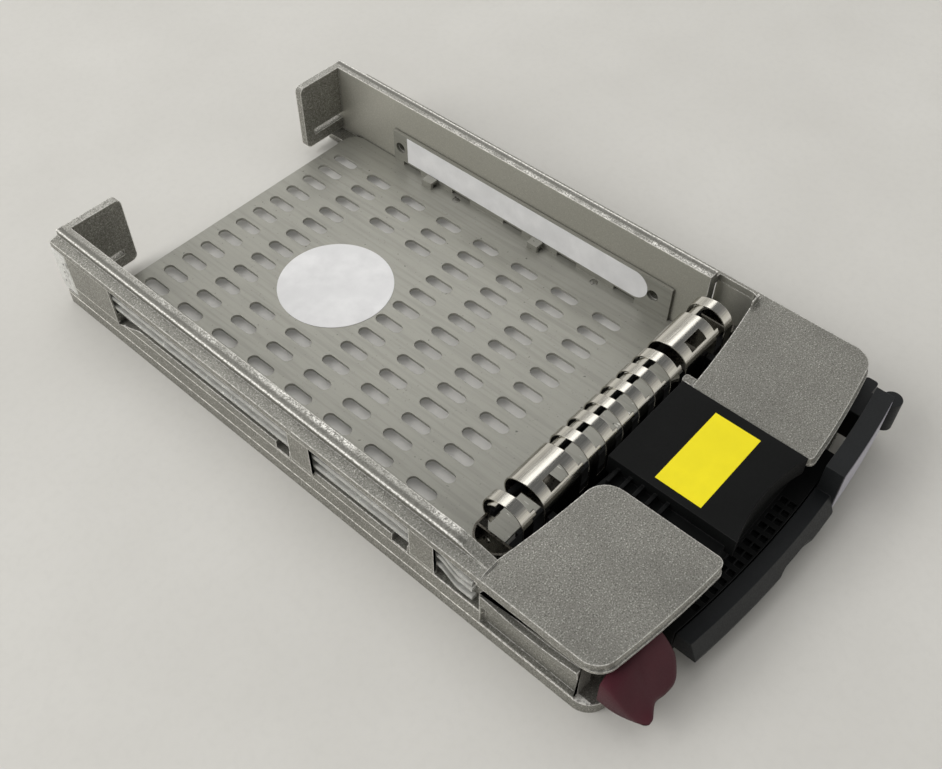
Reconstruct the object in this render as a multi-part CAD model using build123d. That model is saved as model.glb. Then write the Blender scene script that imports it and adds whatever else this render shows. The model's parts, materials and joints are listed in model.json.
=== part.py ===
# Hot-swap carrier for one 3.5 inch hard drive: two cast side rails with front wings, a
# perforated sheet floor, a black front bezel, a spring shield strip, a hinged lever with a
# release latch, and light pipes in the left rail.
# Millimetres. X runs across the carrier, the front faces -Y, Z is up, z = 0 is the table.
import math
import os

from build123d import *

# Drive that the carrier holds
drive_width = 101.6
drive_length = 147.0
drive_hole_pitch = 101.6
drive_hole_to_connector = 28.5
drive_hole_height = 6.35
drive_side_gap = 0.4
drive_end_gap = 0.1
drive_end_y = 102.6

# Heights of the castings
rail_top_z = 26.6
wing_top_z = 24.2
runner_height = 3.8

# Sheet floor
sheet = 0.9
floor_top_z = 3.0
floor_rear_y = 97.4
floor_front_margin = 2.6
floor_corner = 5.0
flange_top_z = 15.4
flange_rear_margin = 2.9
flange_front_margin = 6.1
slot_columns = 12
slot_rows = 8
slot_column_pitch = 7.14
slot_row_pitch = 15.594
slot_width = 3.5
slot_length = 9.6
slot_centre_y = 34.0
bare_columns = (3, 4, 5, 6, 7, 8)
bare_rows = (4, 5)
relief_length = 7.6
relief_height = 1.5
relief_pitch = 21.75
relief_count = 5
relief_centre_y = 25.6
tab_centre_y = 37.2
tab_pitch = 44.5
tab_count = 2
tab_length = 4.0
tab_width = 3.0
tab_rise = 2.4
screw_hole_radius = 1.9
screw_hole_skin = 1.0

# Cast rail section
web_gap = 0.1
web_thickness = 3.4
ledge_width = 2.9
lip_drop = 1.8
ledge_fall = 0.6
rib_thickness = 2.1
channel_bottom_z = 11.4
skirt_top_inset = 0.9
toe_width = 5.0
right_ledge_end = 9.6
left_lip_taper = 10.0

# Rear return flange of each rail
return_width = 20.2
return_thickness = 2.5
return_bottom_z = 3.2
return_corner = 2.0
return_slot_z = 7.0
return_slot_height = 2.2
return_slot_length = 13.0

# Front wings
wing_inner_x = 18.2
wing_rear_gap = 4.9
wing_depth = 34.5
crown_radius = 300.0
wing_slab = 2.4
wing_lip = 0.8
wing_lip_step = 0.6
wing_outer_corner = 6.0
wing_inner_corner = 2.0
left_wing_rear_corner = 6.5
right_wing_rear_corner = 1.6
left_nose_setback = 10.6
right_nose_setback = 16.6
nose_groove_height = 2.6
nose_groove_depth = 1.2
channel_end_gap = 0.8
base_thickness = 4.0
base_gap = 3.0
side_window_length = 13.0
side_window_bottom_z = 9.0
side_window_skin = 1.3
side_window_corner = 3.0
wing_tab_inset = 1.9
wing_tab_width = 2.6
wing_tab_length = 4.6
wing_tab_lift = 0.8
wing_tab_corner = 0.8

# Light pipes along the left rail
pipe_height = 1.6
pipe_depth = 1.8
pipe_gap = 0.1
pipe_levels_below_rib = (1.9, 4.5, 8.3)
pipe_drop = 3.4
pipe_end_gap = 3.0
pipe_tail = 4.0
pipe_bend_length = 6.5
dip_lead = 1.5
channel_dip = 2.6
cover_length = 20.2
cover_inset = 0.3
ramp_length = 10.0
ramp_drop = 3.8
clip_length = 8.0
rear_clip_y = 2.6
front_clip_gap = 3.0
core_hole_length = 5.0
core_hole_height = 2.4
core_hole_gap = 1.6
head_seat_length = 5.0
head_overhang = 1.8
head_inset = 0.2
head_above_runner = 1.4
head_below_rib = 1.5
head_chamfer = 0.8
head_hole_radius = 0.7
head_hole_count = 3
head_hole_pitch = 4.2
head_hole_first = 3.4
head_hole_setback = 1.5

# Black front bezel
bezel_half_width = 34.0
bezel_rear_gap = 0.6
bezel_bottom_z = 2.2
bezel_wall = 2.0
block_proud = 1.0
block_gap = 0.3
block_rear_margin = 3.0
block_front_margin = 1.4
block_scoop = 2.4
sill_top_z = 12.0
sill_step = 1.8
sill_hollow_reach = 10.0
front_crown_x = 10.0
vent_size = 1.9
vent_pitch = 3.24
vent_row_pitch = 2.3
vent_depth = 1.2
vent_count = 13
vent_rows = 2
vent_first_x = -25.6
vent_edge = 0.5
fin_gap = 5.0
fin_count = 5
fin_pitch = 3.6
fin_setback = 3.4
fin_thickness = 0.9
fin_height = 1.9

# Spring shield strip
shield_sheet = 0.35
shield_radius = 5.8
shield_proud = 1.4
shield_clear = 0.2
shield_centre_x = 1.2
shield_end_gap = 0.65
shield_rear_angle = -50.0
narrow_finger = 3.5
narrow_pitch = 6.75
narrow_count = 6
wide_finger = 13.6
wide_finger_gap = 4.25
shield_band = 2.6
shield_leg_bottom_z = 13.0
shield_window_length = 5.6
shield_window_height = 3.2
shield_window_lift = 1.0
shield_wall = 2.4
shield_wall_top_z = 17.4

# Side shield brackets
bracket_sheet = 0.6
bracket_setback = 6.4
bracket_height = 15.4
bracket_return = 4.0
bracket_finger_height = 7.0
bracket_finger_bow = 4.6
bracket_hole_radius = 1.1
bracket_hole_setback = 3.6
bracket_hole_drop = 3.5

# Lever
lever_pivot_inset = 10.0
lever_pivot_setback = 9.6
lever_depth = 6.2
lever_bar_height = 6.0
lever_chamfer = 2.2
lever_chamfer_foot = 1.0
lever_tall_gap = 3.8
lever_tall_drop = 3.0
lever_tall_height = 16.5
lever_tall_depth = 5.0
lever_tall_setback = 1.0
lever_tip_gap = 4.4
lever_end_inset = 5.9
lever_hub_radius = 4.6
hub_lift = 4.0
lever_hub_drop = 3.0
lever_arm_width = 9.0
claw_end_inset = 1.3
claw_tab_offset = 6.4
claw_tab_width = 3.6
claw_tab_corner = 1.0
claw_knuckle_inset = 3.8
claw_knuckle_setback = 4.6
claw_knuckle_radius = 2.6
lever_label_inset = 1.0
scoop_x = 4.5
scoop_radius = 30.0
scoop_depth = 1.0
scoop_height = 2.0
pin_radius = 1.25
pin_clearance = 0.05
pin_seat = 3.0

# Latch
latch_left_inset = 1.7
latch_width = 18.4
latch_pivot_inset = 11.3
latch_pivot_setback = 11.6
latch_top_drop = 2.4
latch_hub_radius = 3.4
latch_arm_width = 6.0
latch_front_gap = 2.2
latch_right_length = 5.0
latch_round_depth = 3.0
latch_round_width = 5.2
latch_hollow_width = 10.6
latch_hollow_depth = 1.8
latch_horn_width = 1.8
latch_horn_length = 1.4
latch_left_length = 12.0
latch_rear_inset = 1.6
latch_slope_drop = 2.0
latch_slope_run = 4.0

# Labels and small parts
label_thickness = 0.12
round_label_radius = 17.6
round_label_x = -3.0
round_label_y = 49.2
block_label_width = 25.7
block_label_depth = 12.9
block_label_offset_x = -0.45
block_label_setback = 17.7
strip_rear_gap = 1.4
strip_bottom_margin = 2.2
strip_top_margin = 0.6
screw_radius = 1.2
screw_head_radius = 2.3
screw_head_height = 1.1
floor_screw_ys = (48.0, -8.0)
bezel_screw_inset = 5.0
bezel_screw_setback = 12.0
running_gap = 0.4
spring_wire = 0.6
spring_turns = 4

# How far a cutter reaches past what it cuts, and the share of a corner that its arc keeps
past = 1.0
round_share = 1 - math.sqrt(0.5)
half_turn = 180.0

# Derived places, across
drive_half = drive_width / 2 + drive_side_gap
web_inner_x = drive_half + sheet + web_gap
web_outer_x = web_inner_x + web_thickness
half_width = web_outer_x + ledge_width
return_inner_x = web_outer_x - return_width
base_inner_x = bezel_half_width + base_gap
pipe_inner_x = web_outer_x + pipe_gap
pipe_outer_x = pipe_inner_x + pipe_depth
cover_inner_x = pipe_outer_x + pipe_gap
head_outer_x = half_width - head_inset
block_left_x = fin_gap - wing_inner_x
block_right_x = wing_inner_x - block_gap
block_middle_x = (block_left_x + block_right_x) / 2
bracket_x = web_inner_x - bracket_setback
shield_half_length = bracket_x - bracket_sheet - shield_end_gap - shield_centre_x
end_finger_x = shield_half_length - narrow_finger / 2
wide_finger_x = end_finger_x - narrow_finger / 2 - wide_finger_gap - wide_finger / 2
lever_pivot_x = half_width - lever_pivot_inset
lever_tall_x = wing_inner_x + lever_tall_gap
lever_end_x = half_width - lever_end_inset
latch_left_x = latch_left_inset - half_width
latch_right_x = latch_left_x + latch_width
latch_pivot_x = latch_pivot_inset - half_width
lever_tip_x = latch_right_x + lever_tip_gap

# Derived places, from the connector end to the front
return_front_y = drive_end_y + drive_end_gap
rail_rear_y = return_front_y + return_thickness
head_front_y = rail_rear_y - head_seat_length
head_rear_y = rail_rear_y + head_overhang
cover_front_y = head_front_y - cover_length
rear_hole_y = drive_end_y - drive_hole_to_connector
front_hole_y = rear_hole_y - drive_hole_pitch
hole_ys = (rear_hole_y, front_hole_y)
drive_front_y = drive_end_y - drive_length
floor_front_y = drive_front_y - floor_front_margin
bezel_rear_y = floor_front_y - bezel_rear_gap
shield_rear_y = drive_front_y - shield_clear
shield_centre_y = shield_rear_y - shield_radius
shield_leg_y = shield_centre_y - shield_radius
shield_wall_front_y = shield_leg_y + shield_sheet
channel_end_y = shield_leg_y - channel_end_gap
pipe_end_y = channel_end_y + pipe_end_gap
pipe_bend_start_y = pipe_end_y + pipe_tail + pipe_bend_length
channel_dip_y = pipe_bend_start_y + dip_lead
clip_centres = (rear_clip_y, channel_dip_y + front_clip_gap)
wing_rear_y = shield_leg_y - wing_rear_gap
wing_front_y = wing_rear_y - wing_depth
block_rear_y = wing_rear_y + block_rear_margin
block_front_y = wing_front_y + block_front_margin
block_face_y = block_front_y + block_scoop
sill_front_y = wing_front_y - sill_step
lever_front_y = sill_front_y - running_gap - lever_depth
lever_tall_front_y = lever_front_y + lever_tall_setback
lever_pivot_y = wing_front_y + lever_pivot_setback
latch_pivot_y = wing_front_y + latch_pivot_setback
latch_tip_y = lever_front_y + latch_front_gap
frame_centre_y = (head_rear_y + lever_front_y) / 2

# Derived heights
hole_z = floor_top_z + drive_hole_height
toe_top_z = floor_top_z - sheet
ledge_inner_z = rail_top_z - lip_drop
ledge_outer_z = ledge_inner_z - ledge_fall
channel_top_z = ledge_outer_z - rib_thickness
pipe_levels = [channel_top_z - drop for drop in pipe_levels_below_rib]
head_bottom_z = runner_height + head_above_runner
head_top_z = channel_top_z - head_below_rib
wing_bottom_z = wing_top_z - wing_slab
lip_bottom_z = wing_bottom_z - wing_lip
block_top_z = wing_top_z + block_proud
deck_bottom_z = lip_bottom_z - bezel_wall
bezel_floor_z = bezel_bottom_z + bezel_wall
bezel_screw_top_z = (wing_bottom_z + wing_top_z) / 2
shield_centre_z = rail_top_z + shield_proud - shield_radius
bracket_top_z = bezel_floor_z + bracket_height
pin_bottom_z = base_thickness - pin_seat
pin_top_z = wing_top_z - wing_slab / 2
hub_bottom_z = base_thickness + hub_lift
lever_hub_top_z = lip_bottom_z - lever_hub_drop
latch_top_z = lip_bottom_z - latch_top_drop
lever_bar_top_z = sill_top_z
lever_bar_bottom_z = lever_bar_top_z - lever_bar_height
lever_tall_top_z = wing_top_z - lever_tall_drop
lever_tall_bottom_z = lever_tall_top_z - lever_tall_height
strip_bottom_z = floor_top_z + strip_bottom_margin
strip_top_z = flange_top_z - strip_top_margin


def crown_y(x, front_y, centre_x=0.0):
    # The front edge swells forward in a shallow arc.
    return front_y + crown_radius - math.sqrt(crown_radius ** 2 - (x - centre_x) ** 2)


def box(x_span, y_span, z_span):
    x0, x1 = sorted(x_span)
    y0, y1 = sorted(y_span)
    z0, z1 = sorted(z_span)
    middle = ((x0 + x1) / 2, (y0 + y1) / 2, (z0 + z1) / 2)
    return Pos(*middle) * Box(x1 - x0, y1 - y0, z1 - z0)


def prism_y(points, y_span):
    # Extrudes an outline given in X and Z along Y.
    y0, y1 = sorted(y_span)
    outline = Polyline([(x, y1, z) for x, z in points], close=True)
    return extrude(make_face(outline), amount=y1 - y0, dir=(0, -1, 0))


def prism_x(points, x_span):
    # Extrudes an outline given in Y and Z along X.
    x0, x1 = sorted(x_span)
    outline = Polyline([(x0, y, z) for y, z in points], close=True)
    return extrude(make_face(outline), amount=x1 - x0, dir=(1, 0, 0))


def plan(points, z_span):
    # Extrudes an outline given in X and Y upwards.
    z0, z1 = sorted(z_span)
    outline = Polyline([(x, y, z0) for x, y in points], close=True)
    return extrude(make_face(outline), amount=z1 - z0, dir=(0, 0, 1))


def upright(radius, x, y, z_span):
    z0, z1 = sorted(z_span)
    return Pos(x, y, (z0 + z1) / 2) * Cylinder(radius, z1 - z0)


def across(radius, y, z, x_span):
    x0, x1 = sorted(x_span)
    return Pos((x0 + x1) / 2, y, z) * Rot(0, 90, 0) * Cylinder(radius, x1 - x0)


def crowned_slab(x_span, y_span, z_span, centre_x=0.0):
    # A slab whose front and rear edges both follow the crown.
    x0, x1 = sorted(x_span)
    front_y, rear_y = sorted(y_span)
    z0, z1 = sorted(z_span)
    stations = (x0, (x0 + x1) / 2, x1)
    front = [(x, crown_y(x, front_y, centre_x), z0) for x in stations]
    rear = [(x, crown_y(x, rear_y, centre_x), z0) for x in stations]
    edges = [
        ThreePointArc(*front),
        Line(front[2], rear[2]),
        ThreePointArc(*reversed(rear)),
        Line(rear[0], front[0]),
    ]
    return extrude(make_face(edges), amount=z1 - z0, dir=(0, 0, 1))


def upright_edge_near(solid, x, y):
    # The upright edge of a solid that stands closest to a point in plan.
    edges = solid.edges().filter_by(Axis.Z)
    target = Vector(x, y, 0)
    return min(edges, key=lambda edge: (Vector(edge.center().X, edge.center().Y, 0) - target).length)


def rounded(solid, corners):
    # Rounds the upright edges nearest to each (x, y, radius).
    for x, y, radius in corners:
        solid = fillet(upright_edge_near(solid, x, y), radius)
    return solid


def countersunk_screw(x, y, bottom_z, length):
    head = Pos(x, y, bottom_z + screw_head_height / 2) * Cone(
        screw_head_radius, screw_radius, screw_head_height
    )
    return head + upright(screw_radius, x, y, (bottom_z + screw_head_height / 2, bottom_z + length))


def countersink(x, y, bottom_z, length):
    head = Pos(x, y, bottom_z + screw_head_height / 2) * Cone(
        screw_head_radius + pin_clearance, screw_radius + pin_clearance, screw_head_height
    )
    return head + upright(
        screw_radius + pin_clearance, x, y, (bottom_z + screw_head_height / 2, bottom_z + length)
    )


# Side rails, drawn for the right side
def rail_section():
    points = [
        (web_inner_x - toe_width, 0),
        (half_width, 0),
        (half_width, runner_height),
        (half_width - skirt_top_inset, channel_bottom_z),
        (web_outer_x, channel_bottom_z),
        (web_outer_x, channel_top_z),
        (half_width, channel_top_z),
        (half_width, ledge_outer_z),
        (web_outer_x, ledge_inner_z),
        (web_outer_x, rail_top_z),
        (web_inner_x, rail_top_z),
        (web_inner_x, toe_top_z),
        (web_inner_x - toe_width, toe_top_z),
    ]
    return prism_y(points, (channel_end_y, rail_rear_y))


def rear_return():
    plate = box(
        (return_inner_x, web_outer_x),
        (return_front_y, rail_rear_y),
        (return_bottom_z, rail_top_z),
    )
    free_edges = plate.edges().filter_by(Axis.Y).group_by(Axis.X)[0]
    plate = fillet(free_edges, return_corner)
    slot = box(
        (web_inner_x - return_slot_length, web_inner_x),
        (return_front_y - past, rail_rear_y + past),
        (return_slot_z, return_slot_z + return_slot_height),
    )
    return plate - slot


def wing(rear_inner_radius):
    corners = [
        (half_width, crown_y(half_width, wing_front_y), wing_outer_corner),
        (wing_inner_x, wing_front_y, wing_inner_corner),
        (wing_inner_x, wing_rear_y, rear_inner_radius),
    ]
    slab = crowned_slab(
        (wing_inner_x, half_width), (wing_front_y, wing_rear_y), (wing_bottom_z, wing_top_z)
    )
    lip = crowned_slab(
        (wing_inner_x + wing_lip_step, half_width),
        (wing_front_y - wing_lip_step, wing_rear_y - wing_lip_step),
        (lip_bottom_z, wing_bottom_z),
    )
    return rounded(slab, corners) + rounded(lip, corners)


def nose(setback):
    # The closed side wall and base under the wing.
    front_y = wing_front_y + setback
    wall = box((web_inner_x, half_width), (front_y, channel_end_y), (0, lip_bottom_z))
    groove = box(
        (half_width - nose_groove_depth, half_width + past),
        (front_y - past, channel_end_y),
        (lip_bottom_z - nose_groove_height, lip_bottom_z),
    )
    base = crowned_slab((base_inner_x, half_width), (wing_front_y, wing_rear_y), (0, base_thickness))
    corner_y = crown_y(half_width, wing_front_y)
    return wall - groove + rounded(base, [(half_width, corner_y, wing_outer_corner)])


def rail(rear_inner_radius, nose_setback, pin_x, pin_y):
    body = rail_section() + rear_return() + wing(rear_inner_radius) + nose(nose_setback)
    for y in hole_ys:
        # Blind behind the flange: each screw head sits in the web.
        body -= across(screw_hole_radius, y, hole_z, (web_inner_x - past, web_outer_x - screw_hole_skin))
    for y in floor_screw_ys:
        body -= countersink(web_inner_x - toe_width / 2, y, 0, toe_top_z)
    pin_hole = pin_radius + pin_clearance
    body -= upright(pin_hole, pin_x, pin_y, (pin_bottom_z, base_thickness + past))
    body -= upright(pin_hole, pin_x, pin_y, (lip_bottom_z - past, pin_top_z))
    for x, y in bezel_screw_places(1):
        body -= upright(screw_radius + pin_clearance, x, y, (lip_bottom_z - past, bezel_screw_top_z))
    return body


def wing_tab():
    # A small cast tab behind the inner corner of the right wing.
    x0 = wing_inner_x + wing_tab_inset
    x1 = x0 + wing_tab_width
    end_y = wing_rear_y + wing_tab_length
    tab = box((x0, x1), (wing_rear_y - wing_lip_step, end_y), (lip_bottom_z, wing_bottom_z + wing_tab_lift))
    return rounded(tab, [(x0, end_y, wing_tab_corner), (x1, end_y, wing_tab_corner)])


def right_rail():
    body = rail(right_wing_rear_corner, right_nose_setback, lever_pivot_x, lever_pivot_y) + wing_tab()
    ledge_end = box(
        (web_outer_x, half_width + past),
        (rail_rear_y - right_ledge_end, rail_rear_y + past),
        (runner_height, rail_top_z),
    )
    outer_x = half_width - side_window_skin
    front_y = shield_leg_y - running_gap
    window = box(
        (web_inner_x - past, outer_x),
        (front_y, front_y + side_window_length),
        (side_window_bottom_z, rail_top_z + past),
    )
    window = rounded(window, [(outer_x, front_y, side_window_corner)])
    return body - ledge_end - window


def channel_clip(centre_y):
    # A cast tab that bridges the channel and traps the light pipes.
    y_span = (centre_y - clip_length / 2, centre_y + clip_length / 2)
    return box((cover_inner_x, half_width), y_span, (channel_bottom_z - past, channel_top_z))


def channel_cover():
    # The closed panel over the rear end of the light pipes.
    x1 = half_width - cover_inset
    y_span = (cover_front_y, head_front_y)
    panel = box((cover_inner_x, x1), y_span, (channel_bottom_z - past, channel_top_z))
    return panel + box((half_width - skirt_top_inset, x1), y_span, (runner_height, channel_bottom_z))


def channel_ramp():
    # The three-cornered window ahead of the cover panel.
    top_z = channel_bottom_z + past
    outline = [
        (cover_front_y, top_z),
        (cover_front_y, channel_bottom_z - ramp_drop),
        (cover_front_y - ramp_length, channel_bottom_z),
        (cover_front_y - ramp_length, top_z),
    ]
    return prism_x(outline, (web_outer_x, half_width + past))


def core_hole(centre_y):
    front_y = centre_y + clip_length / 2 + core_hole_gap
    return box(
        (web_outer_x - web_thickness / 2, half_width + past),
        (front_y, front_y + core_hole_length),
        (channel_bottom_z - core_hole_height, channel_bottom_z),
    )


def lip_taper():
    # The top lip sinks to the ledge where it meets the wing.
    front_y = channel_end_y
    rear_y = channel_end_y + left_lip_taper
    top_z = rail_top_z + past
    outline = [(front_y, ledge_inner_z), (front_y, top_z), (rear_y, top_z), (rear_y, rail_top_z)]
    return prism_x(outline, (web_inner_x - past, web_outer_x + past))


def left_rail():
    # Drawn for the right side, then mirrored.
    body = rail(left_wing_rear_corner, left_nose_setback, -latch_pivot_x, latch_pivot_y)
    outside = (web_outer_x, half_width + past)
    body -= box(
        outside,
        (channel_end_y, channel_dip_y),
        (channel_bottom_z - channel_dip, channel_bottom_z + past),
    )
    body += channel_cover()
    body -= channel_ramp()
    for centre_y in clip_centres:
        body += channel_clip(centre_y)
        body -= core_hole(centre_y)
    body -= box(outside, (head_front_y, rail_rear_y + past), (head_bottom_z, head_top_z))
    body -= lip_taper()
    return mirror(body, about=Plane.YZ)


# Light pipes in the left rail's channel
def light_pipe(level_z):
    half = pipe_height / 2
    bend_end_y = pipe_end_y + pipe_tail
    low_z = level_z - pipe_drop
    outline = [
        (head_front_y, level_z + half),
        (head_front_y, level_z - half),
        (pipe_bend_start_y, level_z - half),
        (bend_end_y, low_z - half),
        (pipe_end_y, low_z - half),
        (pipe_end_y, low_z + half),
        (bend_end_y, low_z + half),
        (pipe_bend_start_y, level_z + half),
    ]
    return prism_x(outline, (-pipe_outer_x, -pipe_inner_x))


def light_pipe_head():
    body = box((-head_outer_x, -pipe_inner_x), (head_front_y, head_rear_y), (head_bottom_z, head_top_z))
    body = chamfer(body.edges().filter_by(Axis.Z).group_by(Axis.Y)[-1], head_chamfer)
    x_span = (-head_outer_x - past, -head_outer_x + past)
    for index in range(head_hole_count):
        z = head_bottom_z + head_hole_first + head_hole_pitch * index
        body -= across(head_hole_radius, head_rear_y - head_hole_setback, z, x_span)
    return body


# Sheet floor with its two side flanges
def floor_plate():
    edge_x = drive_half + sheet
    floor = box((-edge_x, edge_x), (floor_front_y, floor_rear_y), (toe_top_z, floor_top_z))
    rear_edges = floor.edges().filter_by(Axis.Z).group_by(Axis.Y)[-1]
    floor = fillet(rear_edges, floor_corner)
    cut_z = (toe_top_z - past, floor_top_z + past)
    for side in (-1, 1):
        floor += flange(side)
        for y in floor_screw_ys:
            x = side * (web_inner_x - toe_width / 2)
            floor -= upright(screw_radius + pin_clearance, x, y, cut_z)
        for index in range(tab_count):
            y = tab_centre_y + tab_pitch * (index - (tab_count - 1) / 2)
            floor -= tab_window(side, y)
            floor += ground_tab(side, y)
    return floor - slots()


def flange(side):
    x_span = (side * drive_half, side * (drive_half + sheet))
    cut_span = (side * (drive_half - past), side * (drive_half + sheet + past))
    y_span = (front_hole_y - flange_front_margin, rear_hole_y + flange_rear_margin)
    wall = box(x_span, y_span, (toe_top_z, flange_top_z))
    for y in hole_ys:
        wall -= across(screw_hole_radius, y, hole_z, cut_span)
    for index in range(relief_count):
        y = relief_centre_y + relief_pitch * (index - (relief_count - 1) / 2)
        relief_y = (y - relief_length / 2, y + relief_length / 2)
        wall -= box(cut_span, relief_y, (floor_top_z, floor_top_z + relief_height))
    return wall


def tab_window(side, y):
    # The opening that the tab is lanced out of.
    outer_x = drive_half - running_gap
    return box(
        (side * (outer_x - tab_width + sheet), side * outer_x),
        (y - tab_length / 2, y + tab_length / 2),
        (toe_top_z - past, floor_top_z + past),
    )


def ground_tab(side, y):
    # A spring tab that rises from the floor and bends towards the flange.
    outer_x = drive_half - running_gap
    stem_x = (side * (outer_x - tab_width), side * (outer_x - tab_width + sheet))
    leaf_x = (side * (outer_x - tab_width), side * outer_x)
    y_span = (y - tab_length / 2, y + tab_length / 2)
    top_z = floor_top_z + tab_rise
    stem = box(stem_x, y_span, (floor_top_z, top_z))
    return stem + box(leaf_x, y_span, (top_z - sheet, top_z))


def slots():
    # Round-ended slots on a regular grid, left out under the round label.
    first_x = -slot_column_pitch * (slot_columns - 1) / 2
    first_y = slot_centre_y - slot_row_pitch * (slot_rows - 1) / 2
    cutters = []
    for column in range(slot_columns):
        for row in range(slot_rows):
            if column in bare_columns and row in bare_rows:
                continue
            x = first_x + slot_column_pitch * column
            y = first_y + slot_row_pitch * row
            profile = Pos(x, y, toe_top_z - past) * Rot(0, 0, 90) * SlotOverall(slot_length, slot_width)
            cutters.append(extrude(profile, amount=sheet + 2 * past, dir=(0, 0, 1)))
    return cutters


# Labels
def round_label():
    z_span = (floor_top_z, floor_top_z + label_thickness)
    return upright(round_label_radius, round_label_x, round_label_y, z_span)


def flange_label(side):
    # A long strip between the two drive holes, round at its front end.
    radius = (strip_top_z - strip_bottom_z) / 2
    front_y = front_hole_y + screw_hole_radius + radius
    rear_y = rear_hole_y - screw_hole_radius - strip_rear_gap
    middle_z = (strip_top_z + strip_bottom_z) / 2
    x_span = (side * (drive_half - label_thickness), side * drive_half)
    strip = box(x_span, (front_y, rear_y), (strip_bottom_z, strip_top_z))
    return strip + across(radius, front_y, middle_z, x_span)


def block_label():
    x = block_middle_x + block_label_offset_x
    y = block_front_y + block_label_setback
    return box(
        (x - block_label_width / 2, x + block_label_width / 2),
        (y - block_label_depth / 2, y + block_label_depth / 2),
        (block_top_z, block_top_z + label_thickness),
    )


# Black front bezel
def front_bezel():
    body = bezel_deck() + bezel_front() + bezel_shell() + centre_block() + fins()
    return body - vents() - bezel_screw_holes()


def bezel_deck():
    # The flat top, cut off behind the face of the block.
    x_span = (-bezel_half_width, bezel_half_width)
    z_span = (deck_bottom_z, lip_bottom_z)
    deck = crowned_slab(x_span, (sill_front_y, wing_rear_y), z_span, front_crown_x)
    ahead = box(
        (-bezel_half_width - past, bezel_half_width + past),
        (lever_front_y, block_face_y),
        (deck_bottom_z - past, lip_bottom_z + past),
    )
    return deck - ahead


def bezel_front():
    # The low hollow sill behind the lever's bar.
    inner_x = bezel_half_width - bezel_wall
    rear_y = block_face_y + bezel_wall
    sill = crowned_slab(
        (-bezel_half_width, bezel_half_width),
        (sill_front_y, rear_y),
        (bezel_bottom_z, sill_top_z),
        front_crown_x,
    )
    hollow = crowned_slab(
        (-inner_x, inner_x),
        (sill_front_y + bezel_wall, rear_y + sill_hollow_reach),
        (bezel_bottom_z - past, sill_top_z - bezel_wall),
        front_crown_x,
    )
    return sill - hollow


def bezel_shell():
    # The riser behind the sill, the two side walls, the floor and the wall behind the shield.
    x_span = (-bezel_half_width, bezel_half_width)
    shell = box(x_span, (block_face_y, block_face_y + bezel_wall), (sill_top_z - bezel_wall, lip_bottom_z))
    shell += box(x_span, (block_front_y, bezel_rear_y), (bezel_bottom_z, bezel_floor_z))
    for side in (-1, 1):
        shell += box(
            (side * bezel_half_width, side * (bezel_half_width - bezel_wall)),
            (block_face_y, shield_leg_y - running_gap),
            (bezel_bottom_z, lip_bottom_z),
        )
    shell += box(
        (bracket_sheet - bracket_x, bracket_x - bracket_sheet),
        (shield_wall_front_y, shield_wall_front_y + shield_wall),
        (bezel_bottom_z, shield_wall_top_z),
    )
    return shell


def centre_block():
    # The raised block with a scooped front.
    z0 = deck_bottom_z
    front_left = (block_left_x, block_front_y, z0)
    front_right = (block_right_x, block_front_y, z0)
    rear_right = (block_right_x, block_rear_y, z0)
    rear_left = (block_left_x, block_rear_y, z0)
    edges = [
        ThreePointArc(front_left, (block_middle_x, block_face_y, z0), front_right),
        Line(front_right, rear_right),
        Line(rear_right, rear_left),
        Line(rear_left, front_left),
    ]
    block = extrude(make_face(edges), amount=block_top_z - z0, dir=(0, 0, 1))
    hollow = box(
        (block_left_x + bezel_wall, block_right_x - bezel_wall),
        (block_face_y + bezel_wall, block_rear_y - bezel_wall),
        (z0 - past, block_top_z - bezel_wall),
    )
    return block - hollow


def fins():
    # Short ribs in the gap beside the block.
    ribs = []
    for index in range(fin_count):
        y = block_rear_y - fin_setback - fin_pitch * index
        ribs.append(box(
            (running_gap - wing_inner_x, block_left_x + past),
            (y - fin_thickness / 2, y + fin_thickness / 2),
            (lip_bottom_z - past, lip_bottom_z + fin_height),
        ))
    return ribs


def vents():
    cutters = []
    for column in range(vent_count):
        x = vent_first_x + vent_pitch * column
        for row in range(vent_rows):
            y = crown_y(x, sill_front_y, front_crown_x) + vent_edge + vent_size / 2 + vent_row_pitch * row
            cutters.append(box(
                (x - vent_size / 2, x + vent_size / 2),
                (y - vent_size / 2, y + vent_size / 2),
                (sill_top_z - vent_depth, sill_top_z + past),
            ))
    return cutters


def bezel_screw_places(side):
    x = bezel_half_width - bezel_wall - screw_head_radius
    return [(side * x, y) for y in (wing_rear_y - bezel_screw_inset, wing_front_y + bezel_screw_setback)]


def all_bezel_screw_places():
    return bezel_screw_places(-1) + bezel_screw_places(1)


def bezel_screw_holes():
    return [countersink(x, y, deck_bottom_z, bezel_wall + past) for x, y in all_bezel_screw_places()]


def bezel_screws():
    length = bezel_screw_top_z - deck_bottom_z
    return Compound([countersunk_screw(x, y, deck_bottom_z, length) for x, y in all_bezel_screw_places()])


def floor_screws():
    x = web_inner_x - toe_width / 2
    places = [(side * x, y) for side in (-1, 1) for y in floor_screw_ys]
    return Compound([countersunk_screw(px, py, 0, floor_top_z) for px, py in places])


# Spring shield strip
def polar(radius, degrees):
    angle = math.radians(degrees)
    return shield_centre_y + radius * math.cos(angle), shield_centre_z + radius * math.sin(angle)


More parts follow.
